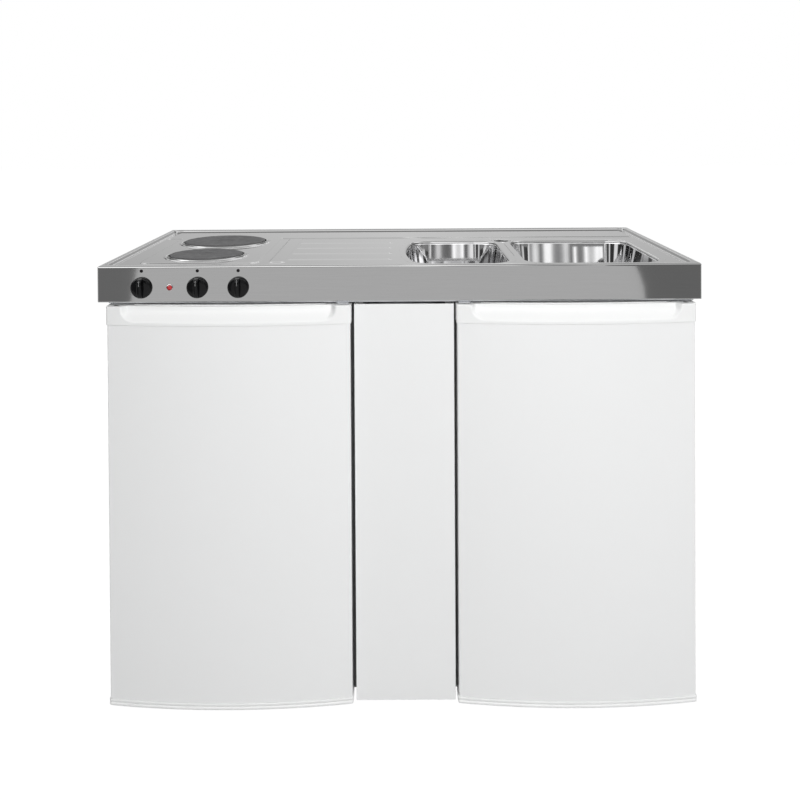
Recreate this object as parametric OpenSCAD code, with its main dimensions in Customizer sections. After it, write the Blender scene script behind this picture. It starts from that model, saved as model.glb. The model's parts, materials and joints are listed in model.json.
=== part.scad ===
// Kitchenette unit: pressed steel worktop with two hotplates, a drainer and one and a half bowls,
// over a refrigerator (left) and a sink cupboard (right) with matching bowed doors.
// X runs left to right, Y runs back from the front of the worktop, Z is up from the floor.
// The finished model is centred on the middle of its own footprint.

/* [Worktop] */
// Width of the worktop
worktop_w = 1200; // [1180:1:1300]
// Depth of the worktop, front apron to back edge
worktop_d = 600; // [590:1:650]
// Height of the worktop's rim above the floor
worktop_h = 900; // [880:1:950]
// Thickness of the pressed steel sheet
sheet = 1.0; // [0.8:0.1:1.5]
// Height of the front apron that carries the controls
apron_h = 72; // [66:1:84]
// Height of the back apron
back_apron_h = 36; // [25:1:40]
// Width of the flat rim round the deck
rim_w = 12; // [8:1:16]
// Depth of the deck below the rim
rim_drop = 6; // [4:0.5:9]
// Radius of the deck's corners inside the rim
deck_corner = 20; // [10:1:30]
// Depth of the raised ledge along the back of the deck
ledge_d = 136; // [120:1:150]
// Height of the shallow pressings: ledge, hob field
press_h = 1.5; // [1:0.1:2.5]
// Height of the pressed ridges of the drainer
ridge_h = 2.5; // [1.5:0.1:3.5]
// Width of one drainer ridge
ridge_w = 18; // [12:1:24]
// Spacing of the drainer ridges
ridge_pitch = 84; // [70:1:86]
// Front margin of the first drainer ridge
ridge_front = 113; // [95:1:120]
// Left end of the drainer, from the worktop's left end
drainer_left = 362; // [355:1:375]
// Right end of the drainer, from the worktop's right end
drainer_right = 614; // [608:1:640]
// Middle of the splash ridge between hob and drainer, from the worktop's left end
splash_left = 332; // [328:1:338]

/* [Bowls] */
// Width of the bridge between the bowls
bridge_w = 33; // [30:1:45]
// Width of the half bowl
half_w = 214; // [200:1:220]
// How far the half bowl's left side bulges past its corners
half_bulge = 12; // [10:1:30]
// Depth of the half bowl below the deck
half_h = 118; // [100:1:135]
// Left side of the main bowl, from the worktop's right end
main_right = 338; // [325:1:342]
// Width of the main bowl
main_w = 278; // [260:1:290]
// Depth of the main bowl below the deck
main_h = 145; // [120:1:170]
// Front edge of both bowls behind the worktop's front
bowl_y0 = 52; // [52:1:60]
// Front-to-back size of both bowls
bowl_d = 338; // [310:1:345]
// Corner radius of the bowls
bowl_corner = 48; // [40:1:60]
// Radius where the bowls' walls meet their floors
bowl_floor_r = 24; // [12:1:34]
// How far each bowl wall leans in from top to floor
bowl_draft = 12; // [4:1:20]
// Width of the flange that joins a bowl to the deck
bowl_flange = 7; // [5:1:9]
// Diameter of the tap hole
tap_d = 35; // [32:0.5:36]
// Tap hole behind the worktop's front
tap_y = 392; // [388:1:396]
// Diameter of the waste flanges
waste_d = 112; // [95:1:116]
// Diameter of the hole in a bowl's floor
waste_hole_d = 90; // [80:1:92]
// Outside diameter of the waste pipes
pipe_d = 40; // [32:1:50]

/* [Hob] */
// Middle line of both hotplates, from the worktop's left end
plate_left = 184; // [180:1:190]
// Diameter of the rear hotplate
rear_plate_d = 190; // [180:1:196]
// Middle of the rear hotplate behind the front
rear_plate_y = 372; // [368:1:380]
// Diameter of the front hotplate
front_plate_d = 156; // [145:1:160]
// Middle of the front hotplate behind the front
front_plate_y = 158; // [150:1:160]
// Height of a hotplate above its spill ring
plate_lift = 4; // [2:0.5:8]
// Thickness of the cast plates
plate_t = 14; // [10:0.5:18]
// Width of the spill ring outside a hotplate
ring_w = 9; // [6:0.5:11]
// Depth of the tray under the hob
tray_h = 52; // [40:1:56]
// Left edge of the raised hob field, from the worktop's left end
field_left = 62; // [55:1:70]
// Right edge of the raised hob field, from the worktop's left end
field_right = 310; // [302:1:314]
// Diameter of the control knobs
knob_d = 42; // [38:0.5:46]
// How far a knob stands out from the apron
knob_t = 22; // [16:0.5:28]
// Middle of each knob, from the worktop's left end
knob_left = [88, 199, 280];
// Height of the knobs above the apron's lower edge
knob_rise = 29; // [26:0.5:34]
// Middle of the pilot lamp, from the worktop's left end
lamp_left = 144; // [138:1:150]
// Diameter of the pilot lamp
lamp_d = 12; // [10:0.5:14]
// Diameter of the index dots above the knobs
dot_d = 6.6; // [5:0.1:8]

/* [Doors] */
// Left margin from the worktop's end to the refrigerator
left_margin = 22; // [16:1:30]
// Right margin from the cupboard to the worktop's end
right_margin = 16.5; // [12:0.5:24]
// Gap between the refrigerator door and the centre panel
left_gap = 7.5; // [6:0.5:10]
// Width of the blank centre panel
panel_w = 198; // [190:1:204]
// Gap between the centre panel and the cupboard door
right_gap = 6; // [5:0.5:8]
// Width of the cupboard door skin
cupboard_door_w = 470; // [460:1:474]
// Height of the doors' lower edge above the floor
door_z0 = 30; // [29:1:45]
// How far a door's corners stand in front of the apron
door_lead = 10; // [8:0.5:12]
// How far a door's middle bows out past its corners
door_bow = 18; // [8:1:24]
// Thickness of a door at its edges
door_t = 50; // [44:1:54]
// Thickness of the door skins and folded panels
skin = 1.0; // [0.8:0.1:1.5]
// Height of the moulded top trim
top_trim_h = 36.5; // [35:0.5:50]
// Height of the moulded bottom trim
bottom_trim_h = 13; // [10:1:20]
// How far the trims stand out past the skin
trim_proud = 2; // [1:0.1:2.2]
// Height of the finger scoop in the top trim
scoop_h = 30; // [24:1:32]
// Depth of the finger scoop
scoop_d = 15; // [10:0.5:17]
// Distance from a door's end to its finger scoop
scoop_end = 28; // [24:1:40]
// Width of the grip channel behind the scoop
grip_w = 11; // [8:0.5:13]
// Depth of the grip channel
grip_h = 16; // [10:0.5:22]

/* [Hinges] */
// Hinge pin behind a door's front corner
pin_back = 12; // [11:0.5:13]
// Hinge pin inside a door's side edge
pin_side = 15; // [14:0.5:17]
// Diameter of the hinge pins
pin_d = 6; // [5:0.5:7]
// Diameter of the hinge bushes and of the plugs
bush_d = 11; // [10:0.5:12]
// Length of the hinge bushes
bush_h = 14; // [12:0.5:18]
// Thickness of the hinge plates
hinge_t = 3; // [2:0.5:3]
// Width of the hinge plates
hinge_w = 24; // [20:1:26]
// Running clearance between a pin and its bush, on the radius
pin_clear = 0.05; // [0.02:0.01:0.1]

/* [Refrigerator] */
// Space between a door's back and the cabinets' fronts, filled by the gasket
seal_t = 10; // [8:0.5:12]
// Depth of the refrigerator behind its front
fridge_d = 500; // [480:5:520]
// Thickness of the refrigerator's insulated walls
wall_t = 36; // [30:1:40]
// Thickness of the plastic liners
liner_t = 2; // [1.5:0.1:3]
// Height of the compressor bay at the lower back
bay_h = 200; // [180:5:230]
// Depth of the compressor bay
bay_d = 150; // [140:5:160]
// Number of glass shelves
shelf_n = 3; // [2:1:4]
// Thickness of a glass shelf
shelf_t = 4; // [3:0.5:6]
// Height of the crisper box
crisper_h = 130; // [100:5:150]
// Depth of the door racks
rack_d = 80; // [60:1:85]

/* [Cupboard] */
// Thickness of the cupboard boards
board = 16; // [12:1:19]
// Depth of the cupboard behind its front edge
cupboard_d = 500; // [480:5:520]
// Thickness of the back board
back_t = 3; // [3:0.5:6]
// Height of the shelf above the bottom board
shelf_rise = 250; // [200:5:300]
// Front-to-back size of the shelf
shelf_d = 240; // [180:5:280]
// Width of the mullion beside the cupboard door
mullion_w = 20; // [16:1:22]
// Diameter of a levelling foot
foot_d = 36; // [28:1:44]
// Thickness of the steel rails
rail_t = 2; // [1.5:0.1:2]
// Radius of the wall-fixing holes in the rear rail
wall_hole_r = 4.5; // [3:0.25:6]
// Distance between the wall-fixing holes
wall_hole_span = 900; // [600:10:1000]

/* [Hidden] */

eps = 0.01;                                  // overrun that keeps cuts clean
seat = 0.3;                                  // gap between soft or loose pieces and their seats
fit = 0.05;                                  // radial clearance of turned fits

// Heights
deck_z = worktop_h - rim_drop;               // top face of the deck
apron_z = worktop_h - apron_h;               // lower edge of the front apron
door_z1 = apron_z - rail_t - hinge_t - 1;    // upper edge of the doors
case_z0 = door_z0 - 1;                       // underside of both cabinets
case_z1 = door_z1;                           // top of both cabinets
// Depths
door_y0 = -door_lead;                        // front plane at a door's corners
case_y0 = door_y0 + door_t + seal_t + 0.5;   // front faces of both cabinets
door_reach = door_lead + door_bow + trim_proud;
mid_y = (worktop_d - door_reach) / 2;        // middle of the whole footprint
// Widths: the cupboard and bowls keep to the right end, the hob to the left end, and the
// refrigerator and drainer take what is left between them
left_x = -worktop_w / 2;
right_x = worktop_w / 2;
cup_door_x1 = right_x - right_margin;
cup_door_x0 = cup_door_x1 - cupboard_door_w;
panel_x1 = cup_door_x0 - right_gap;
panel_x0 = panel_x1 - panel_w;
fridge_x0 = left_x + left_margin;
fridge_x1 = panel_x0 - left_gap;
fridge_w = fridge_x1 - fridge_x0;
cup_x0 = panel_x0 + 2.5;                     // outside of the cupboard's left side board
cup_x1 = cup_door_x1;
drainer_x0 = left_x + drainer_left;
drainer_x1 = right_x - drainer_right;
splash_x = left_x + splash_left;
field_x0 = left_x + field_left;
field_x1 = left_x + field_right;
plate_x = left_x + plate_left;
knob_x = [for (d = knob_left) left_x + d];
lamp_x = left_x + lamp_left;
main_x0 = right_x - main_right;
half_x0 = main_x0 - bridge_w - half_w;
// Hinge pins
fridge_pin = [fridge_x1 - pin_side, door_y0 + pin_back];
cup_pin = [cup_door_x0 + pin_side, door_y0 + pin_back];
pin_r = pin_d / 2;
bush_r = bush_d / 2;
// Radius of the bowed front of a door of width w
function bow_r(w) = (w * w / 4 + door_bow * door_bow) / (2 * door_bow);

// ---- Shared shapes ----

// A block between two values on each axis
module span(x, y, z) {
    translate([x[0], y[0], z[0]]) cube([x[1] - x[0], y[1] - y[0], z[1] - z[0]]);
}

// A rectangle with round corners, made of straight bars and discs
module round_rect(x, y, r) {
    translate([x[0] + r, y[0]]) square([x[1] - x[0] - 2 * r, y[1] - y[0]]);
    translate([x[0], y[0] + r]) square([x[1] - x[0], y[1] - y[0] - 2 * r]);
    for (cx = [x[0] + r, x[1] - r], cy = [y[0] + r, y[1] - r])
        translate([cx, cy]) circle(r = r, $fn = 48);
}

// A plate of that outline between two heights
module plate(x, y, r, z) {
    translate([0, 0, z[0]]) linear_extrude(z[1] - z[0]) round_rect(x, y, r);
}

// A rod along the depth, from y[0] to y[1]
module rod_y(x, y, z, r, fn = 48) {
    translate([x, y[0], z]) rotate([-90, 0, 0]) cylinder(r = r, h = y[1] - y[0], $fn = fn);
}

// An upright rod from z[0] to z[1]
module rod_z(x, y, z, r, fn = 48) {
    translate([x, y, z[0]]) cylinder(r = r, h = z[1] - z[0], $fn = fn);
}

// A pressed ridge with round ends along X, standing h above height z
module ridge_x(x, y, z, w, h) {
    r = (w * w / 4 + h * h) / (2 * h);
    intersection() {
        translate([0, y, z + h - r]) union() {
            translate([x[0] + w / 2, 0, 0]) rotate([0, 90, 0])
                cylinder(r = r, h = x[1] - x[0] - w, $fn = 96);
            for (cx = [x[0] + w / 2, x[1] - w / 2]) translate([cx, 0, 0]) sphere(r = r, $fn = 96);
        }
        span([x[0] - w, x[1] + w], [y - w, y + w], [z, z + 2 * h]);
    }
}

// ---- Worktop ----

module bowl_outline(kind, inset) {
    r = bowl_corner - min(inset, bowl_corner - 2);
    y = [bowl_y0 + inset, bowl_y0 + bowl_d - inset];
    if (kind == "half") hull() {
        x = [half_x0 + inset, half_x0 + half_w - inset];
        for (cy = [y[0] + r, y[1] - r]) translate([x[1] - r, cy]) circle(r = r, $fn = 32);
        for (t = [-1 : 0.25 : 1])
            translate([x[0] + r + half_bulge * t * t, (y[0] + y[1]) / 2 + t * ((y[1] - y[0]) / 2 - r)])
                circle(r = r, $fn = 32);
    }
    else round_rect([main_x0 + inset, main_x0 + main_w - inset], y, r);
}

inner_x = [-worktop_w / 2 + rim_w, worktop_w / 2 - rim_w];
inner_y = [rim_w, worktop_d - rim_w];

module worktop_blank() {
    plate(inner_x, inner_y, deck_corner, [deck_z - sheet, deck_z]);
    // pressings of the deck
    span([inner_x[0] + deck_corner, inner_x[1] - deck_corner], [worktop_d - rim_w - ledge_d, inner_y[1]],
        [deck_z - sheet / 2, deck_z + press_h]);
    plate([field_x0, field_x1], [62, 470], 18, [deck_z - sheet / 2, deck_z + press_h]);
    for (i = [0 : 3])
        ridge_x([drainer_x0, drainer_x1], ridge_front + i * ridge_pitch, deck_z, ridge_w, ridge_h);
    translate([splash_x, 0, 0]) rotate([0, 0, 90])
        ridge_x([64, worktop_d - rim_w - ledge_d - 8], 0, deck_z, 14, ridge_h);
}

module pressed_deck() {
    difference() {
        worktop_blank();
        for (kind = ["half", "main"])
            translate([0, 0, deck_z - sheet - 1]) linear_extrude(20) bowl_outline(kind, sheet);
        rod_z(tap_x, tap_y, [deck_z - 10, deck_z + 10], tap_d / 2, 96);
        rod_z(plate_x, rear_plate_y, [deck_z - 10, deck_z + 10], rear_plate_d / 2 - 6, 96);
        rod_z(plate_x, front_plate_y, [deck_z - 10, deck_z + 10], front_plate_d / 2 - 6, 96);
        // shallow channel that drains the bridge between the bowls
        plate([tap_x - 9, tap_x + 9], [150, tap_y - tap_d / 2 - 8], 8.9,
            [deck_z - sheet / 2, deck_z + 5]);
    }
}

// The deck round both bowls: one strip in front of them, one behind them with the tap hole, and
// three bars beside them. The strips end level with the edges of the bowls' floors.
bar_in = bowl_draft + bowl_floor_r;
bar_y = [bowl_y0 + bar_in, bowl_y0 + bowl_d - bar_in];
surround_y1 = bowl_y0 + bowl_d + bowl_corner;
module surround_part(y) {
    span([(drainer_x1 + half_x0) / 2, right_x], y, [deck_z - 10, deck_z + 10]);
}

module worktop() color([0.66, 0.66, 0.66]) difference() {
    pressed_deck();
    surround_part([0, surround_y1]);
}
module surround_front() color([0.66, 0.66, 0.66]) intersection() {
    pressed_deck();
    surround_part([0, bar_y[0]]);
}
module surround_rear() color([0.66, 0.66, 0.66]) intersection() {
    pressed_deck();
    surround_part([bar_y[1], surround_y1]);
}
module surround_bars() color([0.66, 0.66, 0.66]) intersection() {
    pressed_deck();
    surround_part(bar_y);
}

// Raised rim with its upstand to the deck, and the front, side and back aprons folded down
// under it, with the holes of the controls
module worktop_edge() {
    x = [-worktop_w / 2, worktop_w / 2];
    y = [0, worktop_d];
    color([0.66, 0.66, 0.66]) difference() {
        union() {
            difference() {
                union() {
                    plate(x, y, edge_r, [worktop_h - sheet, worktop_h]);
                    plate([inner_x[0] - sheet, inner_x[1] + sheet], [inner_y[0] - sheet, inner_y[1] + sheet],
                        deck_corner + sheet, [deck_z - sheet, worktop_h]);
                }
                plate(inner_x, inner_y, deck_corner, [deck_z - sheet - 1, worktop_h + 1]);
            }
            difference() {
                plate(x, y, edge_r, [apron_z, worktop_h]);
                plate([x[0] + sheet, x[1] - sheet], [y[0] + sheet, y[1] - sheet], edge_r - sheet,
                    [apron_z - 1, worktop_h + 1]);
                span([x[0] + sheet, x[1] - sheet], [y[1] - 5, y[1] + 1],
                    [apron_z - 1, worktop_h - back_apron_h]);
            }
            // return flange along the foot of the front apron
            span([x[0] + sheet / 2, x[1] - sheet / 2], [sheet / 2, rim_w + 4],
                [apron_z, apron_z + sheet]);
        }
        for (x = knob_x) rod_y(x, [-1, 5], knob_z, shaft_hole_r);
        rod_y(lamp_x, [-1, 5], knob_z, lamp_d / 2 - 1);
    }
}
edge_r = 3;                                  // radius of the worktop's outer corners
tap_x = (half_x0 + half_w + main_x0) / 2;
knob_z = apron_z + knob_rise;
shaft_hole_r = 5;

// ---- Bowls and waste ----

// Closed form of a bowl, drawn in by inset on every side
module bowl_form(kind, depth, inset) {
    floor_z = deck_z - sheet - depth + inset;
    r = bowl_floor_r;
    hull() {
        translate([0, 0, deck_z - sheet - eps]) linear_extrude(eps) bowl_outline(kind, inset);
        for (a = [0, 30, 60, 90])
            translate([0, 0, floor_z + r * (1 - sin(a))])
                linear_extrude(eps) bowl_outline(kind, inset + bowl_draft + r * (1 - cos(a)));
    }
}

module bowl(kind, depth, cx) {
    flange_z = deck_z - 2 * sheet;
    color([0.72, 0.72, 0.73]) difference() {
        union() {
            bowl_form(kind, depth, 0);
            translate([0, 0, flange_z]) linear_extrude(sheet) bowl_outline(kind, -bowl_flange);
        }
        bowl_form(kind, depth, sheet);
        translate([0, 0, flange_z - eps]) linear_extrude(2 * sheet) bowl_outline(kind, sheet);
        rod_z(cx, bowl_mid_y, [deck_z - depth - 10, deck_z - depth + 10], waste_hole_d / 2, 96);
    }
}
bowl_mid_y = bowl_y0 + bowl_d / 2;
half_cx = half_x0 + half_w / 2;
main_cx = main_x0 + main_w / 2;
module half_bowl() bowl("half", half_h, half_cx);
module main_bowl() bowl("main", main_h, main_cx);

// Waste: a dished flange on the floor with a threaded tail below it
tail_h = 46;
waste_wall = 2.5;
module waste(cx, depth) {
    z = deck_z - depth;                       // upper face of the bowl's floor
    r = waste_hole_d / 2 - 1;
    color([0.75, 0.75, 0.76]) translate([cx, bowl_mid_y, z]) rotate_extrude($fn = 96) polygon([
        [r - waste_wall, 1], [waste_d / 2 - 3, 2], [waste_d / 2, 0], [r, 0], [r, -24],
        [pipe_d / 2 + 2, -32], [pipe_d / 2 + 2, -tail_h], [pipe_d / 2 - 1, -tail_h],
        [pipe_d / 2 - 1, -30], [r - waste_wall, -22]]);
}
module half_waste() waste(half_cx, half_h);
module main_waste() waste(main_cx, main_h);

// Strainer basket: a dished cup with a lifting knob, pierced with two rings of holes; its rim
// rests on the top of the waste's flange
strainer_h = 22;
module strainer(cx, depth) {
    r = waste_hole_d / 2 - 1 - waste_wall - 2;
    rim_r = r + 4;
    rim_z = strainer_h + 1.2 + seat;
    color([0.7, 0.7, 0.71]) translate([cx, bowl_mid_y, deck_z - depth - strainer_h]) difference() {
        union() {
            rotate_extrude($fn = 96) polygon([[0, 0], [r - 8, 0], [r, strainer_h - 2], [r, rim_z],
                [rim_r, rim_z], [rim_r, rim_z + 0.8], [r - 1.5, rim_z + 0.8], [r - 9.2, 1.5], [0, 1.5]]);
            cylinder(r = 3, h = strainer_h, $fn = 32);
            translate([0, 0, strainer_h]) cylinder(r = 9, h = 4, $fn = 48);
        }
        for (ring = [0 : 1], i = [0 : 7]) rotate(45 * i + 22.5 * ring)
            translate([14 + 11 * ring, 0, -1]) cylinder(r = 3, h = 4, $fn = 24);
    }
}
module half_strainer() strainer(half_cx, half_h);
module main_strainer() strainer(main_cx, main_h);

// Waste pipes: a drop below each tail, joined by a cross pipe that leads to the trap
pipe_z = deck_z - main_h - tail_h - 30;       // middle height of the cross pipe
trap_x = main_cx + 70;
module pipe_solid(r) {
    rod_z(half_cx, bowl_mid_y, [pipe_z, deck_z - half_h - tail_h], r);
    rod_z(main_cx, bowl_mid_y, [pipe_z, deck_z - main_h - tail_h], r);
    rod_z(trap_x, bowl_mid_y, [pipe_z - 40, pipe_z], r);
    translate([half_cx, bowl_mid_y, pipe_z]) rotate([0, 90, 0])
        cylinder(r = r, h = trap_x - half_cx, $fn = 48);
    for (x = [half_cx, trap_x]) translate([x, bowl_mid_y, pipe_z]) sphere(r = r, $fn = 48);
}
module waste_pipes() {
    r = pipe_d / 2;
    color([0.93, 0.93, 0.93]) difference() {
        pipe_solid(r);
        pipe_solid(r - 2);
        for (e = [[half_cx, deck_z - half_h - tail_h], [main_cx, deck_z - main_h - tail_h]])
            rod_z(e[0], bowl_mid_y, [e[1] - 1, e[1] + 1], r - 2);
        rod_z(trap_x, bowl_mid_y, [pipe_z - 41, pipe_z], r - 2);
    }
}

// Bottle trap: a cup with a union nut on top and an outlet that points to the wall
trap_top = pipe_z - 40;
trap_h = 130;
trap_r = 32;
outlet_z = trap_top - 38;
outlet_y = 520;
module bottle_trap() {
    r = pipe_d / 2;
    color([0.93, 0.93, 0.93]) difference() {
        union() {
            rod_z(trap_x, bowl_mid_y, [trap_top - trap_h, trap_top - 14], trap_r);
            rod_z(trap_x, bowl_mid_y, [trap_top - 16, trap_top], trap_r - 4, 6 * 4);
            rod_y(trap_x, [bowl_mid_y, outlet_y], outlet_z, r);
            rod_y(trap_x, [bowl_mid_y + trap_r + 2, bowl_mid_y + trap_r + 20], outlet_z, r + 6);
        }
        rod_z(trap_x, bowl_mid_y, [trap_top - trap_h + 3, trap_top - 18], trap_r - 3);
        rod_z(trap_x, bowl_mid_y, [trap_top - 30, trap_top + 1], r - 2);
        rod_y(trap_x, [bowl_mid_y, outlet_y + 1], outlet_z, r - 2);
    }
}

// ---- Rails ----

// Folded rail that lies on the cabinets' tops and carries the worktop's front
module front_rail() {
    x = [fridge_x0, cup_x1];
    color([0.75, 0.76, 0.78]) difference() {
        union() {
            span(x, [2, case_y0 - 0.5], [apron_z - rail_t, apron_z]);
            span(x, [case_y0 - 0.5 - rail_t, case_y0 - 0.5], [case_z1, apron_z]);
            span(x, [case_y0 - 0.5 - rail_t, case_y0 + 30], [case_z1, case_z1 + rail_t]);
        }
        // clearance for the bowls behind the upright web
        span([cup_x0 + board, cup_x1 - board], [case_y0 - 0.4, case_y0 + 60], [case_z1 - 1, apron_z + 1]);
    }
}

// Angle along the back that carries the deck and holds the wall fixings
rear_y1 = worktop_d - sheet;
wall_hole_z = worktop_h - back_apron_h - 20;
module rear_rail() {
    color([0.75, 0.76, 0.78]) difference() {
        union() {
            span([fridge_x0, cup_x1], [rear_y1 - 3, rear_y1], [case_z1, deck_z - sheet]);
            span([fridge_x0, cup_x1], [case_y0 + 440, rear_y1], [case_z1, case_z1 + rail_t]);
        }
        for (s = [-1, 1])
            rod_y(s * wall_hole_span / 2, [rear_y1 - 10, rear_y1 + 5], wall_hole_z, wall_hole_r);
    }
}

// Pan-head screws that hold both rails to the cabinets' tops
module rail_screws() {
    spots = [for (x = [fridge_x0 + 40, fridge_x1 - 40, cup_x0 + board / 2, cup_x1 - board / 2])
        for (y = [case_y0 + 12, case_y0 + 452]) [x, y]];
    color([0.6, 0.6, 0.62]) for (p = spots) translate([p[0], p[1], case_z1 + rail_t])
        intersection() {
            translate([0, 0, -4]) sphere(r = 7, $fn = 32);
            cylinder(r = 6, h = 4, $fn = 32);
        }
}

// ---- Hob ----

field_z = deck_z + press_h;                   // top of the raised hob field
ring_h = 2;                                   // height of a spill ring's outer step
plate_z1 = field_z + ring_h + plate_lift;     // top of the hotplates

// Cast plate: a thick disc with a bevelled edge, a sunk centre and a central stud
module hotplate(y, d) {
    r = d / 2;
    color([0.3, 0.3, 0.31]) translate([plate_x, y, plate_z1]) union() {
        rotate_extrude($fn = 128) polygon([[0, -1], [r * 0.24, -1], [r * 0.28, 0], [r - 1.5, 0],
            [r, -1.5], [r, -plate_lift], [r - 9, -plate_lift], [r - 10, -plate_t], [0, -plate_t]]);
        translate([0, 0, -plate_t - 22]) cylinder(r = 4, h = 23, $fn = 32);
    }
}
module hotplate_front() hotplate(front_plate_y, front_plate_d);
module hotplate_rear() hotplate(rear_plate_y, rear_plate_d);

// Stepped steel rings that seal the plates to the deck
module spill_rings() {
    color([0.8, 0.8, 0.8])
        for (p = [[front_plate_y, front_plate_d / 2], [rear_plate_y, rear_plate_d / 2]])
            translate([plate_x, p[0], field_z]) rotate_extrude($fn = 128) polygon([
                [p[1] + ring_w, 0], [p[1] + ring_w * 0.6, ring_h * 0.5], [p[1] + ring_w * 0.3, ring_h],
                [p[1] - 8.5, ring_h], [p[1] - 8.5, ring_h - 1], [p[1], ring_h - 1],
                [p[1] + ring_w * 0.5, 0]]);
}

// Thin cups that cover the heating elements, held by a nut on the plate's stud
module element_cups() {
    color([0.7, 0.7, 0.72])
        for (p = [[front_plate_y, front_plate_d / 2], [rear_plate_y, rear_plate_d / 2]])
            translate([plate_x, p[0], plate_z1 - plate_t - 12]) difference() {
                cylinder(r = p[1] - 14, h = 12 - fit, $fn = 96);
                translate([0, 0, 1]) cylinder(r = p[1] - 15, h = 12, $fn = 96);
                translate([0, 0, -1]) cylinder(r = 4 + fit, h = 4, $fn = 32);
            }
}

// Folded tray that closes the hob from below; the switches are screwed to its front wall
tray_y = [60, 478];
module hob_tray() {
    z = [deck_z - sheet - tray_h, deck_z - sheet];
    x = [field_x0 - 30, field_x1 + 6];
    color([0.78, 0.79, 0.8]) {
        difference() {
            span(x, tray_y, z);
            span([x[0] + 1, x[1] - 1], [tray_y[0] + 1, tray_y[1] - 1], [z[0] + 1, z[1] + 1]);
        }
    }
}

// Switch bodies behind the apron, each with a bore for its knob's shaft
switch_y = [6, 60];
switch_s = 36;
module control_switches() {
    color([0.88, 0.87, 0.83]) for (x = knob_x) difference() {
        union() {
            span([x - switch_s / 2, x + switch_s / 2], [switch_y[0] + 6, switch_y[1]],
                [knob_z - switch_s / 2 + 4, knob_z + switch_s / 2]);
            rod_y(x, [sheet, switch_y[0] + 6], knob_z, 8);
        }
        rod_y(x, [0, 40], knob_z, 3 + pin_clear);
    }
}

// Knob: a flanged disc with a grip bar across it and a mark at the top, on a steel shaft
module knob(x) {
    r = knob_d / 2;
    skirt = 8;
    color([0.05, 0.05, 0.05]) translate([x, 0, knob_z]) difference() {
        union() {
            rotate([90, 0, 0]) rotate_extrude($fn = 96) polygon([[0, 0.6], [r - 0.5, 0.6], [r, 1.5],
                [r, skirt - 2], [r - 2, skirt], [r - 5, skirt + 1], [0, skirt + 1]]);
            intersection() {
                rod_y(0, [-knob_t, -skirt], 0, r - 3, 96);
                span([-6, 6], [-knob_t, 0], [-r, r]);
            }
            rod_y(0, [-2, 38], 0, 3, 32);
        }
        // the mark cut into the upper end of the grip bar
        span([-1, 1], [-knob_t - 1, -knob_t + 1.2], [r * 0.35, r]);
        rod_y(0, [39, 40], 0, 2);
    }
}
module timer_knob() knob(knob_x[0]);
module front_plate_knob() knob(knob_x[1]);
module rear_plate_knob() knob(knob_x[2]);

// Pilot lamp: a domed lens in front of the apron and its body behind it
module lamp_lens() {
    r = lamp_d / 2;
    color([0.8, 0.05, 0.08]) translate([lamp_x, 0, knob_z]) rotate([90, 0, 0])
        rotate_extrude($fn = 64) polygon([[0, -sheet], [r - 1 - fit, -sheet], [r - 1 - fit, 0], [r, 0],
            [r, 1], [r * 0.75, 2.2], [r * 0.4, 2.8], [0, 3]]);
}
module lamp_body() color([0.9, 0.9, 0.88]) rod_y(lamp_x, [sheet, 26], knob_z, lamp_d / 2 + 1);

// Printed dots that the knobs' marks point to
dot_rise = 33;
module index_dots()
    color([0.03, 0.03, 0.03]) for (x = knob_x) rod_y(x, [-0.2, 0], knob_z + dot_rise, dot_d / 2);

// ---- Doors, shared by both cabinets ----
// A door is drawn with its left front corner at the origin, its width along X and its depth
// along Y, and then placed by door_at.

module door_at(x0) translate([x0, door_y0, 0]) children();

// Plan of a bowed door of width w and depth d, grown by g at the front and sides
module door_plan(w, d, g = 0) {
    r = bow_r(w);
    translate([-g, 0]) square([w + 2 * g, d]);
    intersection() {
        translate([-g, -door_bow - g - 1]) square([w + 2 * g, door_bow + g + 2]);
        translate([w / 2, r - door_bow]) circle(r = r + g, $fn = 360);
    }
}

// Steel skin: the bowed front and two folded sides, open at the back and ends
skin_d = door_t - 12;
module door_skin(x0, w) {
    z = [door_z0 + bottom_trim_h, door_z1 - top_trim_h];
    color([0.92, 0.92, 0.91]) door_at(x0) difference() {
        translate([0, 0, z[0]]) linear_extrude(z[1] - z[0]) door_plan(w, skin_d);
        translate([0, 0, z[0] - 1]) linear_extrude(z[1] - z[0] + 2)
            translate([skin, skin]) intersection() {
                door_plan(w - 2 * skin, skin_d);
                translate([0, -door_bow - 1]) square([w - 2 * skin, door_t + door_bow]);
            }
    }
}

// Core that fills the skin
module door_core(x0, w, tone) {
    z = [door_z0 + bottom_trim_h, door_z1 - top_trim_h];
    color(tone) door_at(x0) translate([0, 0, z[0]]) linear_extrude(z[1] - z[0])
        translate([skin + fit, skin + 2 * fit]) door_plan(w - 2 * skin - 2 * fit, skin_d - skin - 2 * fit);
}

// Places of the bushes: both ends, so that the door can be hung either way round
function bush_spots(w) = [pin_side, w - pin_side];

// Plan of a trim: the door's plan grown by trim_proud, with its front corners eased in two steps
trim_corner = 5;
function trim_front(x, w) = bow_r(w) - door_bow - sqrt(pow(bow_r(w) + trim_proud, 2) - x * x);
module trim_plan(w) {
    half = w / 2 + trim_proud;
    y = trim_front(half, w) + trim_corner;
    ease = [for (a = [0, 30, 60]) [half - trim_corner * (1 - cos(a)), y - trim_corner * sin(a)]];
    reach = ease[2] - [1, 1] * (door_bow + trim_corner);   // runs on past the bow at 45 degrees
    translate([w / 2, 0]) intersection() {
        translate([-w / 2, 0]) door_plan(w, skin_d, trim_proud);
        polygon([[half, skin_d], ease[0], ease[1], ease[2], reach,
            [-reach[0], reach[1]], [-ease[2][0], ease[2][1]], [-ease[1][0], ease[1][1]],
            [-ease[0][0], ease[0][1]], [-half, skin_d]]);
    }
}

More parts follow.
